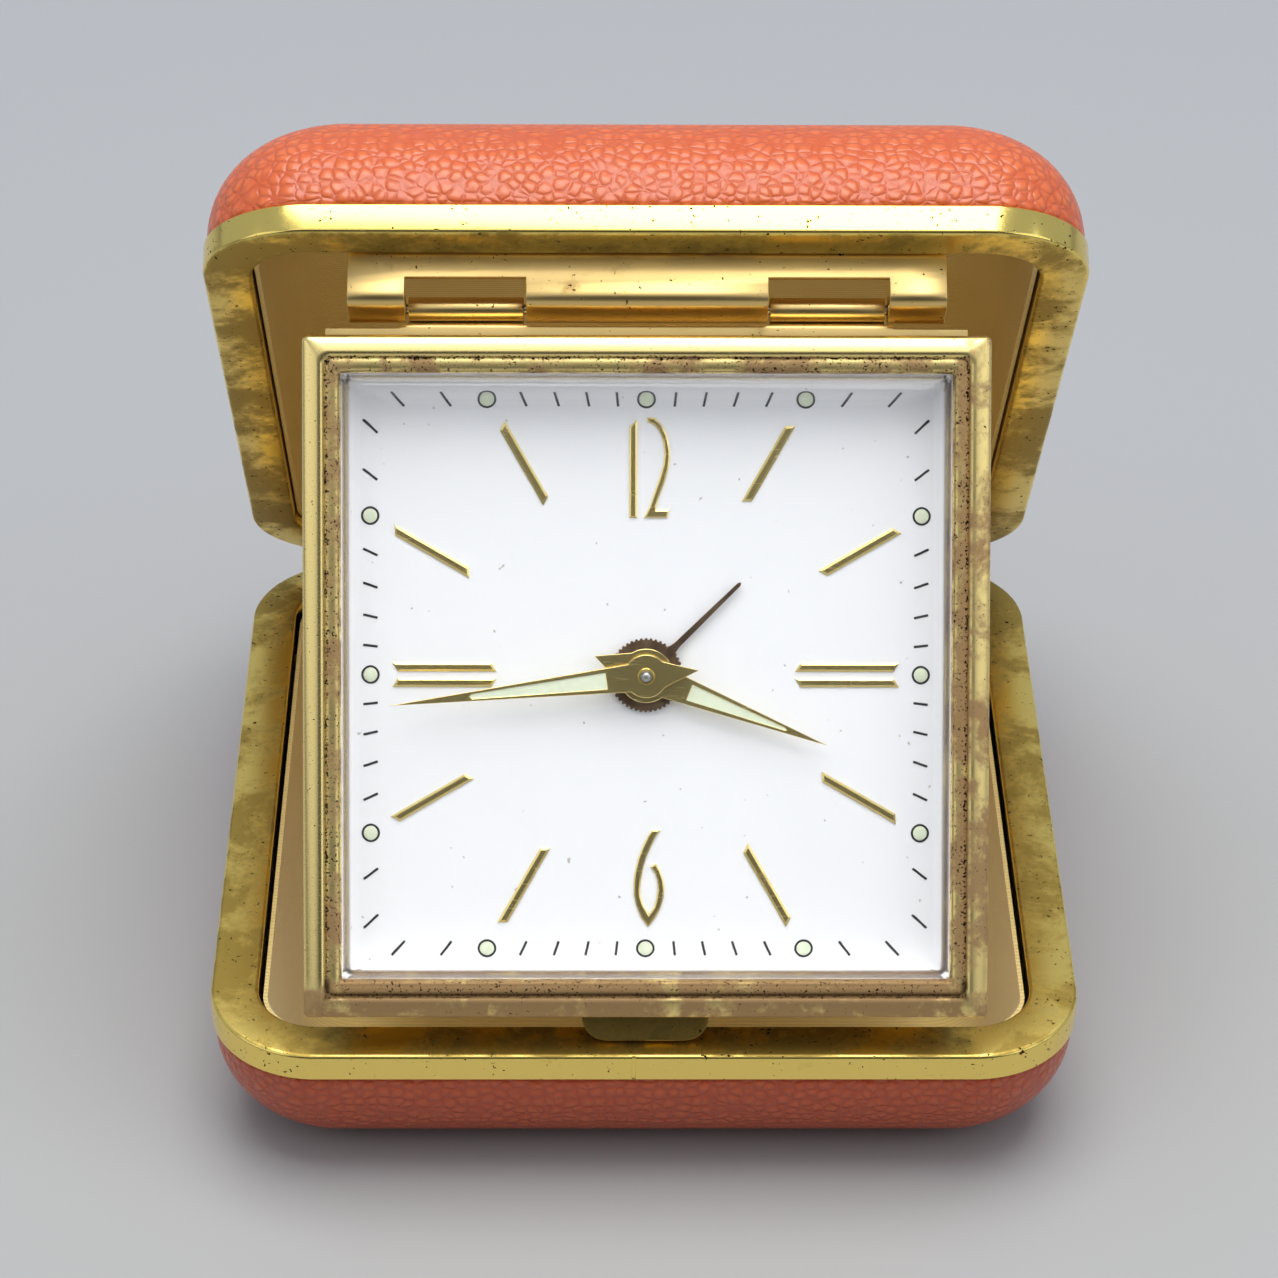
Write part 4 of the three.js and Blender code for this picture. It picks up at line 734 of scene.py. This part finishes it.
drum_levels = [drum_level(0, -head_depth + drum_round), drum_level(0, drum_front),
               drum_level(head_sheet, drum_front), drum_level(head_sheet, head_sheet - head_depth),
               drum_level(drum_lip, head_sheet - head_depth), drum_level(drum_lip, -head_depth)]
drum_levels += [drum_level(drum_round * (1 - math.sin(a)), -head_depth + drum_round * (1 - math.cos(a)))
                for a in arc(0, 80, 5)]
piece("head_drum", sweep(drum_levels, steps=8, closed=True), clock_place, bezel_brass, "head",
      ["head_case"])

leaf_wide = head_half_x - 0.2
leaf_foot = head_half_y + 0.25 + 0.3
leaf_pin = half_bezel_y + bezel_top_gap
leaf_curl = 0.83
leaf_play = 0.25
leaf_shoulder = 0.6
leaf_path = [(leaf_foot, -head_depth + 3), (leaf_foot, -face_ahead - 0.3), (leaf_foot + 0.3, -face_ahead),
             (half_bezel_y + 0.6, -face_ahead), (half_bezel_y + 0.85, -face_ahead - 0.1),
             (leaf_pin - 0.75, -face_ahead - 0.6)]
leaf_path += [(leaf_pin - leaf_curl * math.cos(a), -face_ahead - leaf_curl * math.sin(a))
              for a in arc(62, 350, 22)]
right_stations = [knuckle_inner + leaf_play, knuckle_outer - leaf_play, knuckle_outer + leaf_shoulder,
                  leaf_wide]
leaf_stations = [-x for x in reversed(right_stations)] + right_stations


def in_head_leaf(centre):
    if centre.y < half_bezel_y + 0.6:
        return True
    if centre.y < half_bezel_y + 0.8:
        return abs(centre.x) < knuckle_outer + leaf_shoulder
    return knuckle_inner + leaf_play < abs(centre.x) < knuckle_outer - leaf_play


piece("head_leaf", rolled_sheet(leaf_path, leaf_stations, in_head_leaf), clock_place, hinge_brass, "head",
      ["head_hinge_leaf"], gauge=0.5, bevel=0.05)

# Crystal. Clear acrylic is moulded with a low crown and a steep bevel. Its flange is trapped between the
# bezel and the drum.
crystal_wall = 0.5
crystal_sheet = 1.2
crystal_x = half_bezel_x - bezel_band - fit
crystal_y = half_bezel_y - bezel_band - fit
flange_front = -1.8
flange_back = -2.6


def crown(inward, drop):
    """Levels of the crystal's front, or of its back when it is smaller and sunk."""
    levels = []
    for inset, z in [(0, -1.05), (0.08, -0.75), (0.3, -0.48), (0.65, -0.28), (1.2, -0.13), (2.4, 0.02),
                     (4.5, 0.2), (8, 0.4), (13, 0.53), (20, 0.6), (26, 0.62)]:
        half_x = max(crystal_x - inset - inward, 0.3)
        half_y = max(crystal_y - inset - inward, 0.25)
        levels.append((half_x, half_y, min(0.3 + inset * 0.9, half_x - 0.05, half_y - 0.05), z - drop))
    return levels


crystal_levels = crown(crystal_wall, crystal_sheet)[::-1]
crystal_levels += [(crystal_x - crystal_wall, crystal_y - crystal_wall, 0.3, flange_back),
                   (head_half_x, head_half_y, 1.0, flange_back),
                   (head_half_x, head_half_y, 1.0, flange_front), (crystal_x, crystal_y, 0.3, flange_front)]
crystal_levels += crown(0, 0)
acrylic, acrylic_tree, acrylic_shader = finish("clear acrylic", Roughness=0.02, Ior=1.49,
                                               Transmission_Weight=1.0)
rays = plug(acrylic_tree, "LightPath")
let_through = plug(acrylic_tree, "BsdfTransparent", {"Color": (0.975, 0.98, 0.985, 1)}).outputs[0]
lamps_pass = plug(acrylic_tree, "MixShader", {
    0: rays.outputs["Is Shadow Ray"], 1: acrylic_shader.outputs[0], 2: let_through}).outputs[0]
feed(acrylic_tree.nodes["Material Output"], Surface=lamps_pass)
haze = mottle(acrylic_tree, spot_on(acrylic_tree), 60.0, 4.0)
smears = ramp(acrylic_tree, haze, 0.5, 0.8, 0.012, 0.05)
acrylic_own = apart(acrylic_tree, own_spot(acrylic_tree))
rubbed_and_warm_edge = soft_ramp(acrylic_tree, outward(acrylic_tree, acrylic_own), crystal_x - 1.1, crystal_x - 0.6)
clouded = reckon(acrylic_tree, "MULTIPLY_ADD", rubbed_and_warm_edge, 0.22, smears)
# Near its edge the crystal is rubbed rougher, and is also tinted warm as a painted reflection in the bevel.
acrylic_tone = blend(acrylic_tree, rubbed_and_warm_edge, (0.99, 0.995, 1, 1), (1.0, 0.97, 0.95, 1))
feed(acrylic_shader, Roughness=clouded, Base_Color=acrylic_tone)
piece("domed_crystal", sweep(crystal_levels, steps=8), clock_place, acrylic, "head", ["crystal"],
      crease=50)

# Dial. A tin plate in white enamel under a white spacer ring, printed with fine minute strokes, with pale
# green luminous dots in black rings at the hours. The batons and the two numerals are stamped gilt strips.
dial_depth = 5.4
dial_sheet = 0.4
dial_x = head_half_x - head_sheet - 0.25
dial_y = head_half_y - head_sheet - 0.25
dial_corner = 1.5
dial_edge = 0.05
dial_place = clock_place @ Matrix.Translation((0, 0, -dial_depth))

enamel, enamel_tree, enamel_shader = finish("white enamel", Coat_Weight=0.3, Coat_Roughness=0.25)
dial_spot = spot_on(enamel_tree)
ageing = mottle(enamel_tree, dial_spot, 55.0, 4.0)
dust = mottle(enamel_tree, dial_spot, 1500.0, 1.0)
dust_mask = ramp(enamel_tree, dust, 0.77, 0.8)
enamel_tone = blend(enamel_tree, ageing, (0.92, 0.92, 0.93, 1), (0.95, 0.95, 0.955, 1))
dusty = blend(enamel_tree, dust_mask, enamel_tone, (0.55, 0.5, 0.45, 1))
enamel_rough = ramp(enamel_tree, ageing, 0.0, 1.0, 0.38, 0.5)
feed(enamel_shader, Base_Color=dusty, Roughness=enamel_rough)


def dial_level(inset, z):
    return dial_x - inset, dial_y - inset, max(dial_corner - inset, 1.1), z


dial_mesh = sweep([dial_level(0, -dial_sheet), dial_level(0, -dial_edge), dial_level(dial_edge, 0)], steps=6)
piece("dial_plate", dial_mesh, dial_place, enamel, "head", ["dial"])
spacer_back = 0.02
spacer_front = dial_depth + flange_back - 0.05
spacer_wall = 0.45
spacer_levels = [dial_level(0, spacer_back), dial_level(0, spacer_front),
                 dial_level(spacer_wall, spacer_front), dial_level(spacer_wall, spacer_back)]
spacer_mesh = sweep(spacer_levels, steps=6, closed=True)
piece("dial_spacer", spacer_mesh, dial_place, enamel, "head")

ink, ink_tree, ink_shader = finish("black print", Roughness=0.5)
ink_grain = mottle(ink_tree, spot_on(ink_tree), 5000.0)
ink_tone = blend(ink_tree, ink_grain, (0.012, 0.012, 0.013, 1), (0.04, 0.038, 0.036, 1))
feed(ink_shader, Base_Color=ink_tone)

track_inner = 24.23
track_outer = 25.57
track_middle = 24.9
stroke_half = 0.11
print_sunk = -0.01
print_height = 0.03
chamfer_slope = 0.45


def slab(bm, corners, z0, z1, chamfer=0.0):
    """A flat polygon raised to a height, with a low chamfer round its top."""
    base = bm.faces.new([bm.verts.new((x, y, z0)) for x, y in corners])
    risen = bmesh.ops.extrude_face_region(bm, geom=[base])["geom"]
    top = [item for item in risen if isinstance(item, bmesh.types.BMVert)]
    bmesh.ops.translate(bm, verts=top, vec=(0, 0, z1 - z0 - chamfer_slope * chamfer))
    if chamfer:
        bmesh.ops.recalc_face_normals(bm, faces=bm.faces)
        lid = [item for item in risen if isinstance(item, bmesh.types.BMFace)]
        bmesh.ops.inset_region(bm, faces=lid, thickness=chamfer, depth=chamfer_slope * chamfer,
                               use_even_offset=True)


def towards(angle, radius, sideways=0.0):
    """A dial point at a clockwise angle from twelve, in degrees."""
    a = math.radians(angle)
    return radius * math.sin(a) + sideways * math.cos(a), radius * math.cos(a) - sideways * math.sin(a)


def to_square(angle, half):
    """Where a ray at this angle meets a square of this half width."""
    x, y = towards(angle, 1)
    return half / max(abs(x), abs(y))


strokes = bmesh.new()
for minute in [minute for minute in range(60) if minute % 5]:
    angle = minute * 6
    near = to_square(angle, track_inner)
    far = to_square(angle, track_outer)
    corners = [(near, -stroke_half), (near, stroke_half), (far, stroke_half), (far, -stroke_half)]
    slab(strokes, [towards(angle, *corner) for corner in corners], print_sunk, print_height)
piece("minute_strokes", strokes, dial_place, ink, "head")


def turned(bm, profile, x=0.0, y=0.0, sides=28):
    """A profile of (radius, height) turned about an upright axis."""
    verts = [bm.verts.new((x + r, y, z)) for r, z in profile]
    edges = [bm.edges.new(pair) for pair in zip(verts, verts[1:])]
    bmesh.ops.spin(bm, geom=verts + edges, cent=(x, y, 0), axis=(0, 0, 1), angle=2 * math.pi, steps=sides,
                   use_merge=True)


dot_radius = 0.66
ring_radius = 0.85
ring_section = [(dot_radius, print_sunk), (dot_radius, print_height), (ring_radius, print_height),
                (ring_radius, print_sunk), (dot_radius, print_sunk)]
dot_section = [(0, 0.1), (0.3, 0.09), (0.52, 0.06), (dot_radius, 0), (dot_radius, print_sunk),
               (0, print_sunk)]
dot_rings = bmesh.new()
dots = bmesh.new()
for hour in range(12):
    x, y = towards(hour * 30, to_square(hour * 30, track_middle))
    turned(dot_rings, ring_section, x, y)
    turned(dots, dot_section, x, y)
piece("hour_dot_rings", dot_rings, dial_place, ink, "head")

lume, lume_tree, lume_shader = finish("luminous paint", Roughness=0.75)
lume_grain = mottle(lume_tree, spot_on(lume_tree), 1800.0, 3.0)
lume_tone = blend(lume_tree, lume_grain, (0.68, 0.76, 0.52, 1), (0.86, 0.9, 0.72, 1))
lume_bump = relief(lume_tree, lume_grain, 0.4, 0.00004)
feed(lume_shader, Base_Color=lume_tone, Normal=lume_bump)
piece("hour_dots", dots, dial_place, lume, "head")

gilt = aged_brass("gilt", (0.96, 0.76, 0.3), (0.8, 0.58, 0.2), (0.3, 0.2, 0.06), 0.3, 0.12, 0.24)[0]
baton_half = 0.4
baton_slant = 0.5
baton_sunk = -0.02
baton_rise = 0.2
baton_chamfer = 0.2
pair_aside = 0.7


def baton(bm, angle, near, far, sideways=0.0, slant=baton_slant):
    """A strip that points at the centre, with its ends cut at a slant."""
    low = sideways - baton_half
    high = sideways + baton_half
    ends = [(near, low), (near + slant, high), (far, high), (far - slant, low)]
    slab(bm, [towards(angle, *end) for end in ends], baton_sunk, baton_rise, baton_chamfer)


batons = bmesh.new()
for hour in (1, 5, 7, 11):
    baton(batons, hour * 30, 17.9, 26.2)
for hour in (2, 4, 8, 10):
    baton(batons, hour * 30, 18.2, 26.4)
for side in (90, 270):
    baton(batons, side, 13.5, 22.9, pair_aside)
    baton(batons, side, 14, 22.4, -pair_aside, -baton_slant)
piece("gilt_batons", batons, dial_place, gilt, "head", crease=20)

figure_one = [(-1.53, 14.22), (-0.83, 14.22), (-0.83, 23.05), (-1.53, 22.4)]
figure_two = [(0.02, 23.22), (0.11, 22.84), (0.75, 22.56), (1.21, 21.99), (1.53, 21.05), (1.64, 19.92),
              (1.53, 18.98), (1.21, 17.84), (0.75, 16.52), (0.29, 15.2), (-0.2, 14.22), (1.89, 14.22),
              (2.04, 14.92), (0.94, 14.92), (0.9, 15.2), (1.21, 16.24), (1.67, 17.47), (2.0, 18.6),
              (2.13, 19.54), (2.13, 20.3), (1.86, 21.62), (1.4, 22.56), (0.75, 23.22)]
figure_six = [(0.6, -14.07), (0.2, -14.64), (-0.26, -15.58), (-0.67, -16.65), (-0.98, -17.94), (-1.09, -19.0),
              (-1.05, -20.07), (-0.78, -21.13), (-0.38, -22.07), (0.25, -22.9), (0.89, -22.07),
              (1.34, -21.24), (1.63, -20.3), (1.72, -19.48), (1.63, -18.65), (1.34, -17.82), (0.94, -17.14),
              (0.43, -17.41), (0.89, -18.06), (1.06, -18.65), (1.11, -19.48), (1.0, -20.3), (0.77, -21.13),
              (0.31, -21.77), (-0.21, -20.89), (-0.44, -20.18), (-0.49, -19.48), (-0.4, -18.53),
              (-0.21, -17.47), (0.08, -16.53), (0.43, -15.7), (0.89, -14.76), (1.34, -14.07)]
numerals = bmesh.new()
for figure, chamfer in [(figure_one, 0.16), (figure_two, 0.13), (figure_six, 0.13)]:
    slab(numerals, figure, baton_sunk, baton_rise, chamfer)
piece("gilt_numerals", numerals, dial_place, gilt, "head", crease=20)

# Hands. The minute and hour hands are stamped gilt frames filled with luminous paint, on pipes that fit one
# inside the other. The alarm hand is a thin dark rod on a serrated disc under them.
hand_sheet = 0.25
hand_step = 0.8
alarm_level = -dial_depth + 0.35
hour_level = alarm_level + hand_step
minute_level = hour_level + hand_step
minute_clock = 263.4
hour_clock = 111.0
alarm_clock = 45.6
near_frame = 0.39
far_frame = 0.21
window_point = 0.25
lume_back = 0.06
lume_front = 0.17


def circle_points(radius, start, end, steps):
    return [(radius * math.cos(a), radius * math.sin(a)) for a in arc(start, end, steps)]


def closed_line(bm, points, z):
    """The edges of a flat closed line."""
    verts = [bm.verts.new((x, y, z)) for x, y in points]
    return [bm.edges.new(pair) for pair in zip(verts, verts[1:] + verts[:1])]


def pierced(loops, z0, z1):
    """A flat sheet inside the first loop, with the other loops cut out of it."""
    bm = bmesh.new()
    edges = [edge for loop in loops for edge in closed_line(bm, loop, z0)]
    bmesh.ops.triangle_fill(bm, use_beauty=True, edges=edges, normal=(0, 0, 1))
    risen = bmesh.ops.extrude_face_region(bm, geom=bm.faces[:])["geom"]
    top = [item for item in risen if isinstance(item, bmesh.types.BMVert)]
    bmesh.ops.translate(bm, verts=top, vec=(0, 0, z1 - z0))
    return bm


def hand_loops(reach, tail, hub, taper, window_near, window_far):
    """Outline and window of a hand: a round hub, a straight-sided blade and a short pointed tail."""
    turn = math.degrees(math.acos(taper * (reach - 0.8 * hub) / hub))
    left_side = circle_points(hub, 180 - turn, 233, 14)
    right_side = circle_points(hub, 307, 360 + turn, 14)
    near_half = taper * (reach - window_near) - near_frame
    far_half = taper * (reach - window_far) - far_frame
    shoulder = window_far - window_point
    window = [(-near_half, window_near), (near_half, window_near), (far_half, shoulder), (0, window_far),
              (-far_half, shoulder)]
    return [(0, reach)] + left_side + [(0, -tail)] + right_side, window


def hand_place(clock, level):
    """A hand points at this many degrees past twelve, at this height over the bezel's face."""
    return clock_place @ Matrix.Rotation(-math.radians(clock), 4, "Z") @ Matrix.Translation((0, 0, level))


for name, (outline, window), place, bore in [
    ("hour", hand_loops(17.6, 5.0, 2.45, 0.085, 4.2, 13.6), hand_place(hour_clock, hour_level), 1.2),
    ("minute", hand_loops(23.4, 4.8, 1.95, 0.0576, 3.6, 16.0), hand_place(minute_clock, minute_level), 0.6),
]:
    sheet = pierced([outline, window, circle_points(bore, 0, 350, 35)], 0, hand_sheet)
    piece(f"{name}_hand_frame", sheet, place, gilt, name, [f"{name}_hand"], crease=25, bevel=0.05)
    piece(f"{name}_hand_lume", pierced([window], lume_back, lume_front), place, lume, name)

bronze, bronze_tree, bronze_shader = finish("bronzed steel", Metallic=0.9)
bronze_place = spot_on(bronze_tree)
bronze_clouds = mottle(bronze_tree, bronze_place, 900.0, 4.0)
bronze_tone = blend(bronze_tree, bronze_clouds, (0.075, 0.045, 0.028, 1), (0.3, 0.2, 0.12, 1))
bronze_rough = ramp(bronze_tree, bronze_clouds, 0.3, 0.7, 0.3, 0.5)
feed(bronze_shader, Base_Color=bronze_tone, Roughness=bronze_rough)
teeth = 46
tooth_tip = 3.36
tooth_root = 3.2
serrations = []
for tooth in range(teeth):
    for share, radius in [(0.1, tooth_tip), (0.5, tooth_tip), (0.65, tooth_root), (0.95, tooth_root)]:
        angle = (tooth + share) / teeth * 2 * math.pi
        serrations.append((radius * math.cos(angle), radius * math.sin(angle)))
alarm_sheet = pierced([serrations, circle_points(1.65, 0, 350, 35)], 0, hand_sheet)
slab(alarm_sheet, [(-0.5, 2.4), (0.5, 2.4), (0.42, 3.3), (0.29, 3.9), (0.17, 11.8), (0, 12), (-0.17, 11.8),
                   (-0.29, 3.9), (-0.42, 3.3)], 0.02, hand_sheet + 0.03)
piece("alarm_hand_disc", alarm_sheet, hand_place(alarm_clock, alarm_level), bronze, "alarm",
      ["alarm_hand"], crease=25, bevel=0.04)

dress("centre_arbor", steel)
on_minute_hand = hand_place(0, minute_level + hand_sheet)
collet = bmesh.new()
turned(collet, [(0.46, 0), (0.74, 0), (0.76, 0.06), (0.76, 0.24), (0.7, 0.32), (0.52, 0.34), (0.46, 0.28),
                (0.46, 0)])
piece("hand_collet", collet, on_minute_hand, gilt, "minute")
arbor_end = bmesh.new()
turned(arbor_end, [(0, 0), (0.44, 0), (0.44, 0.36), (0.38, 0.5), (0.24, 0.58), (0, 0.6)])
piece("arbor_end", arbor_end, on_minute_hand, steel, "minute")

# Movement. Two stamped brass plates on riveted pillars hold the going train, the pin-pallet escapement, the
# motion work and the alarm's barrel and hammer. It is closed in, so the frame's own wheels stay.
plain_brass = aged_brass(
    "movement brass", (0.88, 0.68, 0.26), (0.62, 0.45, 0.18), (0.14, 0.09, 0.04), 0.35, 0.2, 0.24)[0]
for node in ("front_plate", "back_plate", "going_barrel", "alarm_barrel", "centre_wheel", "third_wheel",
             "fourth_wheel", "escape_wheel", "balance_wheel", "cannon_pinion", "minute_wheel", "hour_wheel",
             "alarm_wheel"):
    dress(node, plain_brass)
for node in ("pallet_lever", "hairspring", "alarm_hammer"):
    dress(node, steel)

# Back cover. A brass plate is pressed with a raised panel and held by four slotted screws. The holes for the
# arbors are turned in, and an arc slot lets the regulator's finger swing.
cover_panel = -15.6
knob_back = -16.1
screw_at = 22.9
screw_corners = [(screw_at, screw_at), (-screw_at, screw_at), (-screw_at, -screw_at), (screw_at, -screw_at)]
screw_shank = 0.7
screw_slot = 0.18


def arbor_at(joint):
    """Where a joint's axis stands on the clock, across and up the dial, in millimetres."""
    spot = clock_place.inverted() @ Vector(joints[joint]["pos_m"])
    return spot.x, spot.y


balance_at = arbor_at("balance_swing")
time_key_at = arbor_at("time_key_turn")
alarm_key_at = arbor_at("alarm_key_turn")
alarm_knob_at = arbor_at("alarm_knob_turn")
stop_at = (-17.0, 20.0)


def around(centre, loop):
    return [(centre[0] + x, centre[1] + y) for x, y in loop]


def hole(centre, radius):
    return around(centre, circle_points(radius, 0, 345, 23))


def pressed_cover(holes):
    """The flat panel with its holes, the two steps pressed round it, and the holes' lips turned inwards."""
    bm = bmesh.new()
    aim, verts = start_outline(bm, 8)
    settle(verts, aim, (head_half_x - 3, head_half_y - 3, head_corner, cover_panel))
    line = bm.edges[:]
    lips = [edge for loop in holes for edge in closed_line(bm, loop, cover_panel)]
    bmesh.ops.triangle_fill(bm, use_beauty=True, edges=line + lips, normal=(0, 0, 1))
    for inset, rise in [(2.7, 0.0), (2.4, 0.03), (2.1, 0.12), (1.8, 0.36), (1.6, 0.43), (1.3, 0.45),
                        (0.45, 0.45), (0.3, 0.5), (0.3, 0.62)]:
        verts, line = grow(bm, line)
        settle(verts, aim, (head_half_x - inset, head_half_y - inset, head_corner, cover_panel + rise))
    verts, lips = grow(bm, lips)
    bmesh.ops.translate(bm, verts=verts, vec=(0, 0, 0.35))
    return bm


slot_arc = circle_points(6.1, 56, 124, 14) + circle_points(4.3, 124, 56, 12)
cover_holes = [hole((0, 0), 0.85), hole(alarm_knob_at, 1.15), hole(time_key_at, 1.35),
               hole(alarm_key_at, 1.35), hole(stop_at, 1.15), around(balance_at, slot_arc)]
cover_holes += [hole(corner, 0.85) for corner in screw_corners]
piece("back_cover_plate", pressed_cover(cover_holes), clock_place, bezel_brass, "head",
      ["back_cover"], gauge=0.5)


def slotted_screw():
    """The head's front, between two cuts across it, is pressed in as the slot."""
    bm = bmesh.new()
    turned(bm, [(0, -0.6), (0.55, -0.58), (0.95, -0.5), (1.2, -0.34), (1.3, -0.14), (1.3, -0.03), (1.26, 0),
                (screw_shank, 0), (screw_shank, 1.95), (0.6, 2.05), (0, 2.05)], sides=32)
    bmesh.ops.remove_doubles(bm, verts=bm.verts, dist=1e-4)
    cut_across(bm, -screw_slot, screw_slot)
    strip = [face for face in bm.faces if abs(face.calc_center_median().x) < screw_slot
             and max(vert.co.z for vert in face.verts) < -0.1]
    bmesh.ops.inset_region(bm, faces=strip, thickness=0.01, depth=-0.3)
    return bm


def turned_brass(name, bm, at, body, node, turn=0.0, crease=30):
    """Sets a turned brass piece of the back in its place, and rides it on its body."""
    spot = Matrix.Translation((*at, knob_back)) @ Matrix.Rotation(math.radians(turn), 4, "Z")
    piece(name, bm, clock_place @ spot, plain_brass, body, [node], crease=crease)


for k, corner in enumerate(screw_corners):
    turned_brass(f"slotted_screw_{k + 1}", slotted_screw(), corner, "head", f"cover_screw_{k + 1}",
                 20 + 35 * k, 25)

# Setting knobs. The time knob is pressed on the centre arbor. The alarm knob has an arbor of its own, which
# ends in the pinion that turns the alarm wheel. Both are turned and fluted.
flutes = 14
flute_depth = 0.075
grip = 0.86
pinion_teeth = 16
pinion_module = 0.4


def fluted_knob(bm, radius, bore):
    """A turned knob whose grip is worked into shallow flutes."""
    outline = [(0, -3.3), (0.3, -3.3), (0.36, -3.42), (0.46, -3.52), (0.78, -3.6), (0.92, -3.55), (1, -3.35),
               (1, -1.1), (0.95, -0.9), (0.84, -0.82), (0.64, -0.8), (0.6, -0.72), (0.6, -0.04)]
    foot = [(0.58 * radius, 0), (bore, 0), (bore, -1.1), (0, -1.1)]
    turned(bm, [(share * radius, z) for share, z in outline] + foot, sides=8 * flutes)
    for vert in bm.verts:
        x, y, z = vert.co
        if math.hypot(x, y) > grip * radius:
            sunk = 1 - flute_depth * (0.5 - 0.5 * math.cos(flutes * math.atan2(y, x))) ** 2
            vert.co = (x * sunk, y * sunk, z)


def pinion_outline(turn):
    """Each leaf is a ridge between rounded roots."""
    points = []
    for k in range(pinion_teeth):
        for share, reach in [(-0.12, 0.6), (0, 0.8), (0.12, 0.6), (0.4, -1.1), (0.5, -1.2), (0.6, -1.1)]:
            angle = turn + (k + share) / pinion_teeth * 2 * math.pi
            radius = pinion_module * (pinion_teeth / 2 + reach)
            points.append((radius * math.cos(angle), radius * math.sin(angle)))
    return points


time_knob = bmesh.new()
fluted_knob(time_knob, 4.0, 0.6)
turned_brass("time_knob_fluted", time_knob, (0, 0), "minute", "time_set_knob")
alarm_knob = bmesh.new()
fluted_knob(alarm_knob, 3.4, 0.8)
turned(alarm_knob, [(0, -1.0), (0.8, -1.0), (0.8, 9.8), (0.72, 9.94), (0, 9.94)], sides=32)
slab(alarm_knob, pinion_outline(math.radians(21.25)), 9.35, 9.95)
turned_brass("alarm_knob_fluted", alarm_knob, alarm_knob_at, "alarm_knob", "alarm_set_knob")

# Winding keys. A butterfly wing is pressed from thick sheet and soldered in the slot of a turned hub, whose
# arbor runs through the spring barrel.
wing_half = [(0.9, -1.35), (1.7, -1.6), (2.7, -1.5), (3.9, -1.12), (4.8, -1.15), (5.35, -1.6), (5.5, -2.2),
             (5.3, -2.8), (4.7, -3.28), (3.8, -3.4), (2.8, -3.2), (1.9, -2.75), (0.9, -2.5)]


def winding_key():
    bm = bmesh.new()
    slab(bm, wing_half + [(-x, z) for x, z in reversed(wing_half)], -0.45, 0.45)
    bmesh.ops.bevel(bm, geom=bm.edges[:], offset=0.14, segments=2, profile=0.5, affect="EDGES", material=-1)
    bmesh.ops.rotate(bm, verts=bm.verts, cent=(0, 0, 0), matrix=Matrix.Rotation(math.pi / 2, 3, "X"))
    turned(bm, [(0, -2.5), (0.7, -2.5), (0.95, -2.35), (1.0, -1.5), (1.5, -1.4), (2.0, -1.38), (2.2, -1.2),
                (2.2, -0.9), (2.08, -0.82), (2.08, -0.68), (2.2, -0.6), (2.2, -0.1), (2.1, 0), (1.0, 0),
                (1.0, 5.8), (0.5, 5.8), (0.5, 7.4), (0.4, 7.5), (0, 7.5)], sides=40)
    return bm


for spring, at in [("time", time_key_at), ("alarm", alarm_key_at)]:
    turned_brass(f"{spring}_key_winged", winding_key(), at, f"{spring}_key", f"{spring}_winding_key")

# Stop button and regulator. The button is a domed head on a stem that stops the hammer. The regulator is a
# steel lever on the back plate, with an upright finger.
stop_button = bmesh.new()
turned(stop_button, [(0, -2.6), (0.9, -2.57), (1.45, -2.44), (1.8, -2.2), (1.9, -1.95), (1.9, -1.5),
                     (1.82, -1.4), (0.8, -1.4), (0.8, 4.5), (0.7, 4.6), (0, 4.6)], sides=48)
turned_brass("stop_button_domed", stop_button, stop_at, "stop", "alarm_stop_button")

regulator = bmesh.new()
slab(regulator, [(-0.6, 1.0), (0.6, 1.0), (0.5, 5.4), (0.3, 5.7), (-0.3, 5.7), (-0.5, 5.4)], 0, 0.4)
turned(regulator, [(0.55, 0.03), (1.3, 0.03), (1.4, 0.1), (1.4, 0.34), (1.3, 0.4), (0.55, 0.4), (0.55, 0.03)])
turned(regulator, [(0, -2.2), (0.3, -2.18), (0.46, -2.05), (0.5, -1.9), (0.5, 0.3), (0, 0.3)], 0, 5.2)
piece("regulator_finger", regulator, clock_place @ Matrix.Translation((*balance_at, -14.45)), steel,
      "regulator", ["regulator_lever"], crease=30, bevel=0.05)

# Support tab. A brass strap is screwed under the drum, bent down and cut round at its end, which stands on
# the base rim and so props the lid open.
tab_half = 5.75
tab_tip = -half_bezel_y - 2.58
tab_round = 2.2
tab_bend = 0.75
tab_under = -head_half_y - 0.25 - 0.4
tab_middle = -face_ahead - 0.2
tab_path = [(tab_under, tab_middle - 6)]
tab_path += [(tab_under - tab_bend * (1 - math.cos(a)), tab_middle - tab_bend * (1 - math.sin(a)))
             for a in arc(0, 90, 8)]
tab_path += [(tab_under - tab_bend + (tab_tip - tab_under + tab_bend) * k / 14, tab_middle)
             for k in range(1, 15)]
tab_stations = [tab_half * (k / 10 - 1) for k in range(21)]
tab_sheet = rolled_sheet(tab_path, tab_stations, lambda centre: True)
for vert in tab_sheet.verts:
    low = tab_tip + tab_round - vert.co.y
    if low > 0:
        vert.co.x *= (tab_half - tab_round + math.sqrt(max(tab_round ** 2 - low ** 2, 0))) / tab_half
tab_brass = aged_brass(
    "tab brass", (0.46, 0.31, 0.08), (0.24, 0.16, 0.04), (0.03, 0.02, 0.008), 0.8, 0.3, 0.28)[0]
piece("bent_support_tab", tab_sheet, clock_place, tab_brass, "head", ["support_tab"],
      gauge=0.8, bevel=0.12)
